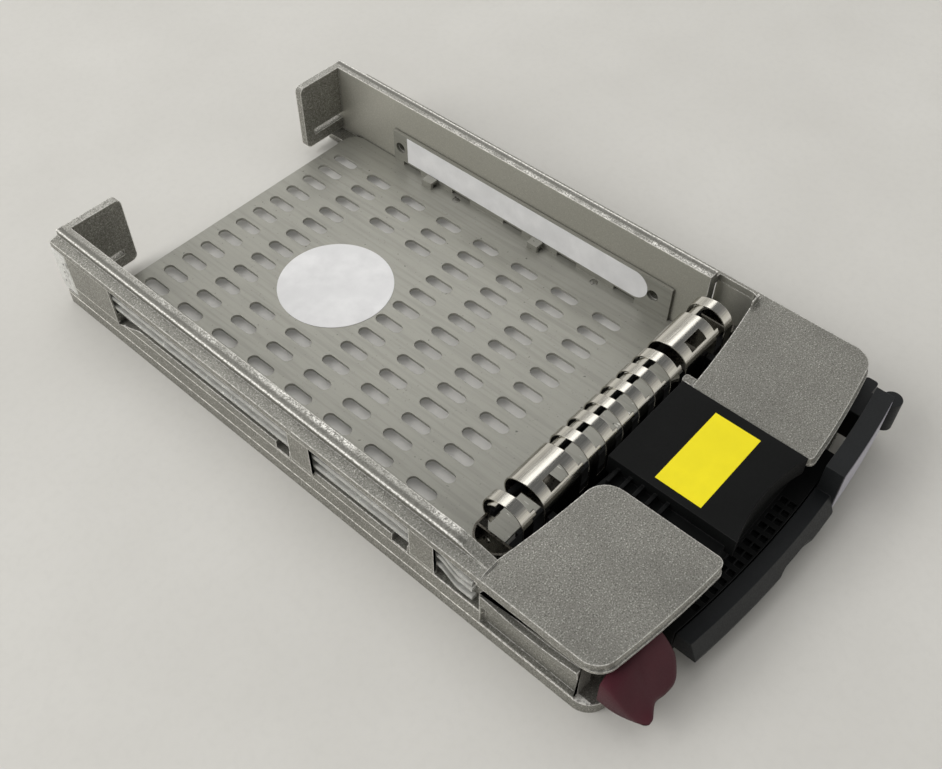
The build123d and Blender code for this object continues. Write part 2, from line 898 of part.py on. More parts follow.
def finger(centre_x, width):
    # One arched finger: free at the rear, over the crest, then a straight leg down the front.
    x0 = centre_x - width / 2
    inner = shield_radius - shield_sheet
    middle_angle = (half_turn + shield_rear_angle) / 2
    outer = [(x0, *polar(shield_radius, a)) for a in (half_turn, middle_angle, shield_rear_angle)]
    inside = [(x0, *polar(inner, a)) for a in (shield_rear_angle, middle_angle, half_turn)]
    leg_outer = (x0, shield_leg_y, shield_leg_bottom_z)
    leg_inner = (x0, shield_wall_front_y, shield_leg_bottom_z)
    edges = [
        ThreePointArc(*outer),
        Line(outer[2], inside[0]),
        ThreePointArc(*inside),
        Line(inside[2], leg_inner),
        Line(leg_inner, leg_outer),
        Line(leg_outer, outer[0]),
    ]
    return extrude(make_face(edges), amount=width, dir=(1, 0, 0))


def finger_window(centre_x):
    bottom_z = shield_leg_bottom_z + shield_band + shield_window_lift
    return box(
        (centre_x - shield_window_length / 2, centre_x + shield_window_length / 2),
        (shield_leg_y - past, shield_wall_front_y + past),
        (bottom_z, bottom_z + shield_window_height),
    )


def shield_strip():
    body = box(
        (shield_centre_x - shield_half_length, shield_centre_x + shield_half_length),
        (shield_leg_y, shield_wall_front_y),
        (shield_leg_bottom_z, shield_leg_bottom_z + shield_band),
    )
    for index in range(narrow_count):
        x = shield_centre_x + narrow_pitch * (index - (narrow_count - 1) / 2)
        body += finger(x, narrow_finger)
    for side in (-1, 1):
        body += finger(shield_centre_x + side * end_finger_x, narrow_finger)
        wide_x = shield_centre_x + side * wide_finger_x
        body += finger(wide_x, wide_finger) - finger_window(wide_x)
    return body


def bow(side):
    # The spring finger of a bracket, bowed out towards the rail.
    face_x = side * (bracket_x - bracket_sheet / 2)
    out_x = side * (bracket_x + bracket_finger_bow)
    in_x = side * (bracket_x + bracket_finger_bow - bracket_sheet)
    middle_y = (shield_leg_y + shield_rear_y) / 2
    z0 = bracket_top_z - bracket_finger_height
    front = (face_x, shield_leg_y, z0)
    rear = (face_x, shield_rear_y, z0)
    front_inner = (face_x, shield_leg_y + bracket_sheet, z0)
    rear_inner = (face_x, shield_rear_y - bracket_sheet, z0)
    edges = [
        ThreePointArc(front, (out_x, middle_y, z0), rear),
        Line(rear, rear_inner),
        ThreePointArc(rear_inner, (in_x, middle_y, z0), front_inner),
        Line(front_inner, front),
    ]
    return extrude(make_face(edges), amount=bracket_finger_height, dir=(0, 0, 1))


def shield_bracket(side):
    # A folded bracket beside the end of the strip: a side plate with a short return at the rear.
    z_span = (bezel_floor_z, bracket_top_z)
    inner_x = side * (bracket_x - bracket_sheet)
    outer_x = side * bracket_x
    plate = box((inner_x, outer_x), (shield_leg_y, shield_rear_y), z_span)
    plate += box(
        (side * (bracket_x - bracket_return), outer_x),
        (shield_rear_y - bracket_sheet, shield_rear_y),
        z_span,
    )
    hole_y = shield_rear_y - bracket_hole_setback
    hole_x = (inner_x - side * past, outer_x + side * past)
    plate -= across(bracket_hole_radius, hole_y, bracket_top_z - bracket_hole_drop, hole_x)
    return plate + bow(side)


# Lever
def lever_bar():
    # The low bar across the front, its top edge sloped and its foot scooped for a finger.
    bar = crowned_slab(
        (lever_tip_x, lever_tall_x),
        (lever_front_y, sill_front_y - running_gap),
        (lever_bar_bottom_z, lever_bar_top_z),
        front_crown_x,
    )
    front_edge = bar.edges().group_by(Axis.Z)[-1].sort_by(Axis.Y)[:1]
    bar = chamfer(front_edge, lever_bar_height - lever_chamfer_foot, lever_chamfer)
    scoop_y = lever_front_y - scoop_radius + scoop_depth
    foot_z = (lever_bar_bottom_z - past, lever_bar_bottom_z + scoop_height)
    return bar - upright(scoop_radius, scoop_x, scoop_y, foot_z)


def lever_end():
    # The tall panel at the hinge end, and the arm that carries it.
    panel = crowned_slab(
        (lever_tall_x, lever_end_x),
        (lever_tall_front_y, lever_tall_front_y + lever_tall_depth),
        (lever_tall_bottom_z, lever_tall_top_z),
        front_crown_x,
    )
    hub_z = (hub_bottom_z, lever_hub_top_z)
    hub = upright(lever_hub_radius, lever_pivot_x, lever_pivot_y, hub_z)
    arm = box(
        (lever_pivot_x - lever_arm_width / 2, lever_pivot_x + lever_arm_width / 2),
        (lever_pivot_y, lever_front_y + lever_tall_depth),
        hub_z,
    )
    return panel + hub + arm


def lever_claw():
    # The tab and the round knuckle that pry against the cage.
    hub_z = (hub_bottom_z, lever_hub_top_z)
    tip_x = half_width - claw_end_inset
    y = lever_pivot_y - claw_tab_offset
    front_y = y - claw_tab_width / 2
    rear_y = y + claw_tab_width / 2
    tab = box((lever_pivot_x, tip_x), (front_y, rear_y), hub_z)
    tab = rounded(tab, [(tip_x, front_y, claw_tab_corner), (tip_x, rear_y, claw_tab_corner)])
    knuckle_x = half_width - claw_knuckle_inset
    return tab + upright(claw_knuckle_radius, knuckle_x, lever_front_y + claw_knuckle_setback, hub_z)


def lever():
    body = lever_bar() + lever_end() + lever_claw()
    return body - upright(pin_radius + pin_clearance, lever_pivot_x, lever_pivot_y, (0, rail_top_z))


def lever_label():
    return crowned_slab(
        (lever_tall_x + lever_label_inset, lever_end_x - lever_label_inset),
        (lever_tall_front_y - label_thickness, lever_tall_front_y),
        (lever_tall_bottom_z + lever_label_inset, lever_tall_top_z - lever_label_inset),
        front_crown_x,
    )


def hinge_pin(x, y):
    return upright(pin_radius, x, y, (pin_bottom_z, pin_top_z))


def torsion_spring(x, y):
    # Open coils round a hinge pin, between the base and the hub above it.
    bottom_z = base_thickness + spring_wire / 2
    height = hub_lift - spring_wire
    radius = pin_radius + spring_wire / 2 + pin_clearance
    path = Pos(x, y, bottom_z) * Helix(height / spring_turns, height, radius)
    profile = Plane(path @ 0, z_dir=path % 0) * Circle(spring_wire / 2)
    return sweep(profile, path=path, is_frenet=True)


# Release latch
def latch_paddle():
    # Seen from above: a straight right side, a round shoulder, a hollow front for the thumb,
    # a blunt horn at the front left corner, and a left side that bulges a little.
    z0 = hub_bottom_z
    rear_y = latch_tip_y + latch_left_length
    right_rear = (latch_right_x, latch_tip_y + latch_round_depth + latch_right_length, z0)
    right_front = (latch_right_x, latch_tip_y + latch_round_depth, z0)
    shoulder = (latch_right_x - latch_round_width, latch_tip_y, z0)
    round_x = latch_right_x - latch_round_width * round_share
    round_y = latch_tip_y + latch_round_depth * round_share
    horn_x = shoulder[0] - latch_hollow_width
    hollow_middle = (shoulder[0] - latch_hollow_width / 2, latch_tip_y + latch_hollow_depth, z0)
    horn_side = (horn_x - latch_horn_width, latch_tip_y + latch_horn_length, z0)
    horn_round_x = horn_x - latch_horn_width * (1 - round_share)
    horn_round_y = latch_tip_y + latch_horn_length * round_share
    left_rear = (latch_left_x + latch_rear_inset, rear_y, z0)
    left_middle = (latch_left_x, (horn_side[1] + rear_y) / 2, z0)
    edges = [
        Line(right_rear, right_front),
        ThreePointArc(right_front, (round_x, round_y, z0), shoulder),
        ThreePointArc(shoulder, hollow_middle, (horn_x, latch_tip_y, z0)),
        ThreePointArc((horn_x, latch_tip_y, z0), (horn_round_x, horn_round_y, z0), horn_side),
        ThreePointArc(horn_side, left_middle, left_rear),
        Line(left_rear, right_rear),
    ]
    return extrude(make_face(edges), amount=latch_top_z - z0, dir=(0, 0, 1)) - latch_slope()


def latch_slope():
    # The top falls away towards the front.
    front_y = latch_tip_y - past
    rear_y = latch_tip_y + latch_slope_run
    top_z = latch_top_z + past
    slope = [(front_y, latch_top_z - latch_slope_drop), (rear_y, latch_top_z)]
    outline = slope + [(rear_y, top_z), (front_y, top_z)]
    return prism_x(outline, (latch_left_x - past, latch_right_x + past))


def release_latch():
    z_span = (hub_bottom_z, latch_top_z)
    hub = upright(latch_hub_radius, latch_pivot_x, latch_pivot_y, z_span)
    arm = box(
        (latch_pivot_x - latch_arm_width / 2, latch_pivot_x + latch_arm_width / 2),
        (latch_pivot_y, latch_tip_y + latch_left_length / 2),
        z_span,
    )
    body = latch_paddle() + hub + arm
    return body - upright(pin_radius + pin_clearance, latch_pivot_x, latch_pivot_y, (0, rail_top_z))


parts = {
    "left_rail": left_rail(),
    "right_rail": right_rail(),
    "floor_plate": floor_plate(),
    "round_label": round_label(),
    "left_flange_label": flange_label(-1),
    "right_flange_label": flange_label(1),
    "shield_strip": shield_strip(),
    "left_shield_bracket": shield_bracket(-1),
    "right_shield_bracket": shield_bracket(1),
    "front_bezel": front_bezel(),
    "block_label": block_label(),
    "lever": lever(),
    "lever_label": lever_label(),
    "lever_pin": hinge_pin(lever_pivot_x, lever_pivot_y),
    "lever_spring": torsion_spring(lever_pivot_x, lever_pivot_y),
    "release_latch": release_latch(),
    "latch_pin": hinge_pin(latch_pivot_x, latch_pivot_y),
    "latch_spring": torsion_spring(latch_pivot_x, latch_pivot_y),
    "upper_light_pipe": light_pipe(pipe_levels[0]),
    "middle_light_pipe": light_pipe(pipe_levels[1]),
    "lower_light_pipe": light_pipe(pipe_levels[2]),
    "light_pipe_head": light_pipe_head(),
    "floor_screws": floor_screws(),
    "bezel_screws": bezel_screws(),
}

os.makedirs("parts", exist_ok=True)
for name, solid in parts.items():
    export_step(Pos(0, -frame_centre_y, 0) * solid, f"parts/{name}.step")
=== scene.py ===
import json
import math

import bmesh
import bpy
from mathutils import Euler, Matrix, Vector


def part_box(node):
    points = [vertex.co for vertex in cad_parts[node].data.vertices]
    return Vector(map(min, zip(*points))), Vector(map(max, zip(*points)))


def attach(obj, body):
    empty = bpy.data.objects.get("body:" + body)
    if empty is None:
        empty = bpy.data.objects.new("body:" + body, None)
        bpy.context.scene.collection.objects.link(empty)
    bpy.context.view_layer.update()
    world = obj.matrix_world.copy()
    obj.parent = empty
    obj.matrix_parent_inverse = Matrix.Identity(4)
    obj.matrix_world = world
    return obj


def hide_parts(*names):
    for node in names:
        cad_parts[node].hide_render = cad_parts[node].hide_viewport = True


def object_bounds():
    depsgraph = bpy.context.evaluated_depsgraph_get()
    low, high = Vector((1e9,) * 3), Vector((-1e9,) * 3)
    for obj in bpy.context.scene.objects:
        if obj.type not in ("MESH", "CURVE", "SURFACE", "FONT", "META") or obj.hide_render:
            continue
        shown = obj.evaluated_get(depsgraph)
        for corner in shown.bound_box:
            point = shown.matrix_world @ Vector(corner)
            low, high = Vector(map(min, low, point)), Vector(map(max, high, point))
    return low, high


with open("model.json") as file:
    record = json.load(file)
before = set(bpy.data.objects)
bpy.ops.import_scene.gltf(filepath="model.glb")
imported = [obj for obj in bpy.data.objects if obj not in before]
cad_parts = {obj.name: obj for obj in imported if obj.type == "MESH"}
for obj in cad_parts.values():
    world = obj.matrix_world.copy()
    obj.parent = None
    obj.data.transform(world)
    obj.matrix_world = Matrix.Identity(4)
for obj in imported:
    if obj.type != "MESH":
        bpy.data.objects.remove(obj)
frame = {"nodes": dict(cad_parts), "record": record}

# Looks of a drive caddy: cast rails, perforated floor, bright shield strip, black front.
# Everything is in metres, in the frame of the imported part.
mm = 0.001
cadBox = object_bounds()
nodes = frame["nodes"]
scene = bpy.context.scene


# Small helpers for shader nodes

traceSamples = 6          # of the nodes that look round a point for edges and corners
grainRange = (0.3, 0.7)   # the part of a noise over which most finishes change their roughness
openRange = (0.35, 0.85)  # the part of the openness that is used


def newMaterial(name):
    mat = bpy.data.materials.new(name)
    mat.use_nodes = True
    tree = mat.node_tree
    return mat, tree, tree.nodes["Principled BSDF"]


def addNode(tree, kind, **settings):
    node = tree.nodes.new(kind)
    for key, value in settings.items():
        setattr(node, key, value)
    return node


def objectCoords(tree, stretch=(1, 1, 1)):
    # Object coordinates, stretched so that a pattern can run along one axis.
    coords = addNode(tree, "ShaderNodeTexCoord")
    mapping = addNode(tree, "ShaderNodeMapping")
    mapping.inputs["Scale"].default_value = stretch
    tree.links.new(coords.outputs["Object"], mapping.inputs["Vector"])
    return mapping.outputs["Vector"]


def noise(tree, coords, scale, detail, roughness=0.55):
    node = addNode(tree, "ShaderNodeTexNoise")
    node.inputs["Scale"].default_value = scale
    node.inputs["Detail"].default_value = detail
    node.inputs["Roughness"].default_value = roughness
    tree.links.new(coords, node.inputs["Vector"])
    return node.outputs["Fac"]


def ramp(tree, fac, places, colours):
    node = addNode(tree, "ShaderNodeValToRGB")
    while len(node.color_ramp.elements) < len(places):
        node.color_ramp.elements.new(0.5)
    for element, place, colour in zip(node.color_ramp.elements, places, colours):
        element.position = place
        element.color = (*colour, 1)
    tree.links.new(fac, node.inputs["Fac"])
    return node.outputs["Color"]


def spread(tree, fac, low, high, fromLow=0.0, fromHigh=1.0):
    node = addNode(tree, "ShaderNodeMapRange")
    node.inputs["From Min"].default_value = fromLow
    node.inputs["From Max"].default_value = fromHigh
    node.inputs["To Min"].default_value = low
    node.inputs["To Max"].default_value = high
    tree.links.new(fac, node.inputs["Value"])
    return node.outputs["Result"]


def mixColour(tree, fac, first, second):
    node = addNode(tree, "ShaderNodeMix", data_type="RGBA")
    for socket, value in ((node.inputs[0], fac), (node.inputs[6], first), (node.inputs[7], second)):
        if isinstance(value, bpy.types.NodeSocket):
            tree.links.new(value, socket)
        else:
            socket.default_value = (*value, 1)
    return node.outputs[2]


def mixValue(tree, fac, first, second):
    node = addNode(tree, "ShaderNodeMix", data_type="FLOAT")
    for socket, value in ((node.inputs[0], fac), (node.inputs[2], first), (node.inputs[3], second)):
        if isinstance(value, (int, float)):
            socket.default_value = value
        else:
            tree.links.new(value, socket)
    return node.outputs[0]


def math2(tree, operation, first, second):
    node = addNode(tree, "ShaderNodeMath", operation=operation)
    for socket, value in zip(node.inputs, (first, second)):
        if isinstance(value, (int, float)):
            socket.default_value = value
        else:
            tree.links.new(value, socket)
    return node.outputs[0]


def axes(tree, coords):
    split = addNode(tree, "ShaderNodeSeparateXYZ")
    tree.links.new(coords, split.inputs[0])
    return split.outputs


def roundedNormal(tree, radius):
    bevel = addNode(tree, "ShaderNodeBevel", samples=traceSamples)
    bevel.inputs["Radius"].default_value = radius
    return bevel.outputs["Normal"]


def edgeMask(tree, radius, low=0.05, high=0.35):
    # 1 along outer edges, from how far a rounded normal leaves the true one.
    geometry = addNode(tree, "ShaderNodeNewGeometry")
    dot = addNode(tree, "ShaderNodeVectorMath", operation="DOT_PRODUCT")
    tree.links.new(roundedNormal(tree, radius), dot.inputs[0])
    tree.links.new(geometry.outputs["Normal"], dot.inputs[1])
    away = math2(tree, "SUBTRACT", 1.0, dot.outputs["Value"])
    return spread(tree, away, 0.0, 1.0, low, high)


def openness(tree, reach):
    # 1 on open faces and outer edges, 0 deep in corners and under lips.
    node = addNode(tree, "ShaderNodeAmbientOcclusion", samples=traceSamples)
    node.inputs["Distance"].default_value = reach
    return spread(tree, node.outputs["AO"], 0.0, 1.0, *openRange)


def bump(tree, height, strength, distance, normal=None):
    node = addNode(tree, "ShaderNodeBump")
    node.inputs["Strength"].default_value = strength
    node.inputs["Distance"].default_value = distance
    tree.links.new(height, node.inputs["Height"])
    if normal is not None:
        tree.links.new(normal, node.inputs["Normal"])
    return node.outputs["Normal"]


def scaled(tone, factor):
    return tuple(min(1.0, factor * channel) for channel in tone)


# Finishes. A noise is given by its scale and detail. A share is given by its two ends and by the
# two values of the noise, or of the place, between which it goes from one to the other.

castLook = {
    "grain": (2900.0, 1.5, 0.6), "grainPlaces": (0.30, 0.46, 0.58, 0.78),
    "dark": (0.17, 0.166, 0.15), "base": (0.34, 0.334, 0.304), "bright": (0.88, 0.87, 0.82),
    "blotches": (70.0, 3.0), "blotchShare": (0.0, 0.3, 0.4, 0.7),
    "creviceShade": (0.10, 0.098, 0.088), "creviceReach": 1.6 * mm, "creviceShare": (0.6, 0.0),
    # inner is the tone of the inner walls: a smoother finish with a painted reflection of the floor plate.
    "inner": (0.66, 0.65, 0.585), "innerShare": 0.75, "innerFrom": 48.0 * mm, "innerFacing": -0.9,
    # worn is the tone of worn edges and of painted highlight lines.
    "worn": (0.97, 0.955, 0.91), "edgeRadius": 0.55 * mm, "edgeRange": (0.015, 0.12),
    "breaks": (1500.0, 3.0), "breakShare": (0.25, 1.0, 0.36, 0.56),
    "metallic": (0.78, 0.25), "roughness": (0.58, 0.40, 0.3, 0.75), "wornRoughness": 0.36,
    "bump": (0.3, 0.025 * mm), "rounding": 0.3 * mm,
    # Bands, each by its axis, place and half width, and an axis with the least distance along it.
    # The lines are bright bands: worn edges, and a painted highlight along edges too flat to catch the
    # light.
    "lines": [("Z", 4.1 * mm, 0.34 * mm, "X", 56.5 * mm), ("Z", 8.5 * mm, 0.24 * mm, "X", 57.4 * mm),
              ("X", 55.35 * mm, 0.32 * mm, "Z", 26.2 * mm)],
    "darkBand": ("X", 54.35 * mm, 0.75 * mm, "Z", 26.2 * mm), "darkShare": 0.75, "bandCore": 0.4,
}


def castMetal():
    look = castLook
    mat, tree, shader = newMaterial("castMetal")
    coords = objectCoords(tree)
    grain = noise(tree, coords, *look["grain"])
    # The bright end of the grain is partly painted glints, standing in for the sparkle of the cast surface.
    tones = (look["dark"], look["base"], look["base"], look["bright"])
    tone = ramp(tree, grain, look["grainPlaces"], tones)
    blotches = spread(tree, noise(tree, coords, *look["blotches"]), *look["blotchShare"])
    shaded = mixColour(tree, blotches, tone, look["dark"])
    free = openness(tree, look["creviceReach"])
    band = math2(tree, "MULTIPLY", bandAt(tree, coords, *look["darkBand"]), look["darkShare"])
    banded = mixColour(tree, band, shaded, look["dark"])
    # Painted shade: the colour goes darker in corners, under lips and in hollows that are less open.
    creviceShaded = mixColour(tree, spread(tree, free, *look["creviceShare"]), banded, look["creviceShade"])
    # Painted reflection: walls facing into the bay are made brighter, and partly for their smoother finish.
    smoothAndLit = math2(tree, "MULTIPLY", innerFace(tree, coords), look["innerShare"])
    cleanAndLit = mixColour(tree, math2(tree, "MULTIPLY", smoothAndLit, free), creviceShaded, look["inner"])
    # Worn edges with a painted highlight: outer edges and the lines below are made pale.
    rubbedAndHighlit = math2(tree, "MULTIPLY", edgeMask(tree, look["edgeRadius"], *look["edgeRange"]), free)
    for line in look["lines"]:
        rubbedAndHighlit = math2(tree, "MAXIMUM", rubbedAndHighlit, bandAt(tree, coords, *line))
    broken = spread(tree, noise(tree, coords, *look["breaks"]), *look["breakShare"])
    worn = math2(tree, "MAXIMUM", math2(tree, "MULTIPLY", rubbedAndHighlit, broken), lipWear(tree, coords))
    tree.links.new(mixColour(tree, worn, cleanAndLit, look["worn"]), shader.inputs["Base Color"])
    tree.links.new(spread(tree, worn, *look["metallic"]), shader.inputs["Metallic"])
    rough = spread(tree, grain, *look["roughness"])
    tree.links.new(mixValue(tree, worn, rough, look["wornRoughness"]), shader.inputs["Roughness"])
    lumps = bump(tree, grain, *look["bump"], roundedNormal(tree, look["rounding"]))
    tree.links.new(lumps, shader.inputs["Normal"])
    return mat


lipLook = {
    "top": (0.0, 1.0, 26.2 * mm, 26.4 * mm), "across": (1.0, 0.12, 53.3 * mm, 53.9 * mm),
    "along": (1.0, 0.45, 10 * mm, 70 * mm),
    "specks": (2500.0, 2.0), "speckShare": (0.0, 0.9, 0.46, 0.58),
    "scratches": (2400.0, 2.0), "stretch": (1, 0.15, 1), "scratchShare": (0.0, 0.8, 0.55, 0.66),
    "patches": (140.0, 2.0), "patchShare": (0.3, 1.0, 0.38, 0.58),
}


def lipWear(tree, coords):
    # Bright scratches and specks on the tops of the lips, where the caddy slides.
    look = lipLook
    place = axes(tree, coords)
    above = spread(tree, place["Z"], *look["top"])
    specks = spread(tree, noise(tree, coords, *look["specks"]), *look["speckShare"])
    streaks = noise(tree, objectCoords(tree, look["stretch"]), *look["scratches"])
    scratches = spread(tree, streaks, *look["scratchShare"])
    patches = spread(tree, noise(tree, coords, *look["patches"]), *look["patchShare"])
    marks = math2(tree, "MULTIPLY", math2(tree, "MAXIMUM", specks, scratches), patches)
    across = spread(tree, math2(tree, "ABSOLUTE", place["X"], 0.0), *look["across"])
    area = math2(tree, "MULTIPLY", across, spread(tree, place["Y"], *look["along"]))
    return math2(tree, "MULTIPLY", math2(tree, "MULTIPLY", above, area), marks)


def innerFace(tree, coords):
    # 1 on the walls that look into the drive bay, which are smoother than the outside and painted brighter
    # than it, a painted reflection of the lit floor plate.
    place = axes(tree, coords)
    geometry = addNode(tree, "ShaderNodeNewGeometry")
    facing = axes(tree, geometry.outputs["True Normal"])
    side = math2(tree, "SIGN", place["X"], 0.0)
    turned = math2(tree, "MULTIPLY", facing["X"], side)
    inward = math2(tree, "LESS_THAN", turned, castLook["innerFacing"])
    away = math2(tree, "ABSOLUTE", place["X"], 0.0)
    return math2(tree, "MULTIPLY", inward, math2(tree, "GREATER_THAN", away, castLook["innerFrom"]))


def bandAt(tree, coords, axis, place, halfWidth, beyondAxis, beyond):
    # A soft band at a distance along one axis, where the other axis is beyond a limit.
    split = axes(tree, coords)
    away = math2(tree, "ABSOLUTE", split[axis], 0.0)
    off = math2(tree, "ABSOLUTE", math2(tree, "SUBTRACT", away, place), 0.0)
    near = spread(tree, off, 1.0, 0.0, castLook["bandCore"] * halfWidth, halfWidth)
    other = math2(tree, "ABSOLUTE", split[beyondAxis], 0.0)
    return math2(tree, "MULTIPLY", near, math2(tree, "GREATER_THAN", other, beyond))


plateLook = {
    "cloud": (45.0, 4.0), "places": (0.35, 0.65), "tones": ((0.32, 0.317, 0.283), (0.37, 0.366, 0.328)),
    "brushing": (900.0, 3.0), "brushStretch": (1, 0.04, 1),
    "streak": (0.21, 0.207, 0.186), "streakShare": (0.0, 0.3, 0.45, 0.65),
    "specks": (1500.0, 1.0), "speck": (0.10, 0.099, 0.085), "speckShare": (0.0, 0.45, 0.70, 0.80),
    "scratches": (1400.0, 1.5), "scratchStretch": (1, 0.22, 1), "scratch": (0.80, 0.79, 0.74),
    "scratchShare": (0.0, 1.0, 0.66, 0.70), "scratchAlong": (0.0, 1.0, -36.0 * mm, -43.0 * mm),
    "patches": (120.0, 1.0), "patchShare": (0.0, 1.0, 0.48, 0.56),
    "bits": (620.0, 2.0), "bit": (0.08, 0.077, 0.07), "bitShare": (0.0, 0.8, 0.72, 0.75),
    "metallic": 0.5, "roughness": (0.34, 0.44), "bump": (0.12, 0.015 * mm), "rounding": 0.12 * mm,
}


def floorSteel():
    look = plateLook
    mat, tree, shader = newMaterial("floorSteel")
    coords = objectCoords(tree)
    brushed = noise(tree, objectCoords(tree, look["brushStretch"]), *look["brushing"])
    cloud = noise(tree, coords, *look["cloud"])
    tone = ramp(tree, cloud, look["places"], look["tones"])
    streaked = mixColour(tree, spread(tree, brushed, *look["streakShare"]), tone, look["streak"])
    specks = spread(tree, noise(tree, coords, *look["specks"]), *look["speckShare"])
    spotted = mixColour(tree, specks, streaked, look["speck"])
    tree.links.new(scratchedFloor(tree, coords, spotted), shader.inputs["Base Color"])
    shader.inputs["Metallic"].default_value = look["metallic"]
    tree.links.new(spread(tree, cloud, *look["roughness"], *grainRange), shader.inputs["Roughness"])
    normal = bump(tree, brushed, *look["bump"], roundedNormal(tree, look["rounding"]))
    tree.links.new(normal, shader.inputs["Normal"])
    return mat


def scratchedFloor(tree, coords, tone):
    # Short bright scratches near the front edge, and a few dark bits all over.
    look = plateLook
    streaks = noise(tree, objectCoords(tree, look["scratchStretch"]), *look["scratches"])
    patches = spread(tree, noise(tree, coords, *look["patches"]), *look["patchShare"])
    fine = math2(tree, "MULTIPLY", spread(tree, streaks, *look["scratchShare"]), patches)
    front = spread(tree, axes(tree, coords)["Y"], *look["scratchAlong"])
    bright = mixColour(tree, math2(tree, "MULTIPLY", fine, front), tone, look["scratch"])
    bits = spread(tree, noise(tree, coords, *look["bits"]), *look["bitShare"])
    return mixColour(tree, bits, bright, look["bit"])


shieldLook = {
    "brushing": (2600.0, 2.0), "stretch": (0.05, 1, 1), "places": (0.3, 0.7),
    "tones": ((0.58, 0.56, 0.51), (0.68, 0.66, 0.60)), "roughness": (0.14, 0.22),
    # edge is the colour of a painted highlight along the sheet's edges.
    "edge": (0.95, 0.92, 0.84), "edgeRadius": 0.12 * mm, "edgeRange": (0.1, 0.5),
    "bump": (0.06, 0.01 * mm),
}


def shieldSteel():
    look = shieldLook
    mat, tree, shader = newMaterial("shieldSteel")
    brushed = noise(tree, objectCoords(tree, look["stretch"]), *look["brushing"])
    base = ramp(tree, brushed, look["places"], look["tones"])
    # Painted highlight: the sheet's edges are made pale.
    edge = edgeMask(tree, look["edgeRadius"], *look["edgeRange"])
    tree.links.new(mixColour(tree, edge, base, look["edge"]), shader.inputs["Base Color"])
    shader.inputs["Metallic"].default_value = 1.0
    tree.links.new(spread(tree, brushed, *look["roughness"], *grainRange), shader.inputs["Roughness"])
    normal = bump(tree, brushed, *look["bump"], roundedNormal(tree, look["edgeRadius"]))
    tree.links.new(normal, shader.inputs["Normal"])
    return mat


steelLook = {
    # brighter scales the tone for the painted highlight along edges.
    "grain": (1300.0, 2.0), "places": (0.35, 0.65), "darker": 0.7, "brighter": 2.2,
    "edgeRadius": 0.15 * mm, "bump": (0.2, 0.015 * mm),
}


def plainSteel(name, tone, roughness):
    look = steelLook
    mat, tree, shader = newMaterial(name)
    grain = noise(tree, objectCoords(tree), *look["grain"])
    base = ramp(tree, grain, look["places"], (scaled(tone, look["darker"]), tone))
    # Painted highlight: edges are made brighter than the steel's tone.
    edge = edgeMask(tree, look["edgeRadius"])
    bright = mixColour(tree, edge, base, scaled(tone, look["brighter"]))
    tree.links.new(bright, shader.inputs["Base Color"])
    shader.inputs["Metallic"].default_value = 1.0
    tree.links.new(spread(tree, grain, *roughness, *grainRange), shader.inputs["Roughness"])
    normal = bump(tree, grain, *look["bump"], roundedNormal(tree, look["edgeRadius"]))
    tree.links.new(normal, shader.inputs["Normal"])
    return mat


mouldLook = {
    "grain": (2200.0, 2.0), "cloud": (90.0, 3.0), "places": (0.35, 0.65), "darker": 0.8,
    "edgeRadius": 0.3 * mm, "edgeShare": (0.3, 0.9, 0.35, 0.6), "bump": (0.3, 0.015 * mm),
}


def mouldedPlastic(name, tone, rubbedAndHighlit, roughness, gloss):
    look = mouldLook
    mat, tree, shader = newMaterial(name)
    coords = objectCoords(tree)
    grain = noise(tree, coords, *look["grain"])
    cloud = noise(tree, coords, *look["cloud"])
    base = ramp(tree, cloud, look["places"], (scaled(tone, look["darker"]), tone))
    # Edges are made paler in patches: partly wear, partly a painted highlight.
    wearAndSheen = spread(tree, cloud, *look["edgeShare"])
    edge = math2(tree, "MULTIPLY", edgeMask(tree, look["edgeRadius"]), wearAndSheen)
    tree.links.new(mixColour(tree, edge, base, rubbedAndHighlit), shader.inputs["Base Color"])
    tree.links.new(spread(tree, grain, *roughness, *grainRange), shader.inputs["Roughness"])
    shader.inputs["Specular IOR Level"].default_value = gloss
    normal = bump(tree, grain, *look["bump"], roundedNormal(tree, look["edgeRadius"]))
    tree.links.new(normal, shader.inputs["Normal"])
    return mat


paperLook = {
    "mottle": (160.0, 3.0), "places": (0.3, 0.7), "distortion": 1.5, "detail": 2.0,
    "foldShare": (0.0, 0.5, 0.75, 1.0), "gloss": 0.3, "bump": (0.1, 0.02 * mm),
}


def paperLabel(name, tone, shade, crease, roughness):
    # A smooth label with a faint slanting crease, whose shade is painted into the colour, and a little
    # mottle.
    look = paperLook
    mat, tree, shader = newMaterial(name)
    coords = objectCoords(tree)
    base = ramp(tree, noise(tree, coords, *look["mottle"]), look["places"], (shade, tone))
    band = addNode(tree, "ShaderNodeTexWave", wave_type="BANDS", bands_direction="DIAGONAL")
    band.inputs["Scale"].default_value = crease
    band.inputs["Distortion"].default_value = look["distortion"]
    band.inputs["Detail"].default_value = look["detail"]
    tree.links.new(coords, band.inputs["Vector"])
    foldShade = spread(tree, band.outputs["Fac"], *look["foldShare"])
    tree.links.new(mixColour(tree, foldShade, base, shade), shader.inputs["Base Color"])
    shader.inputs["Roughness"].default_value = roughness
    shader.inputs["Specular IOR Level"].default_value = look["gloss"]
    tree.links.new(bump(tree, band.outputs["Fac"], *look["bump"]), shader.inputs["Normal"])
    return mat


clearLook = {
    "detail": 3.0, "places": (0.35, 0.6), "darker": 0.78, "refraction": 1.49, "rougher": 0.15,
    "bump": (0.05, 0.01 * mm), "rounding": 0.2 * mm,
}


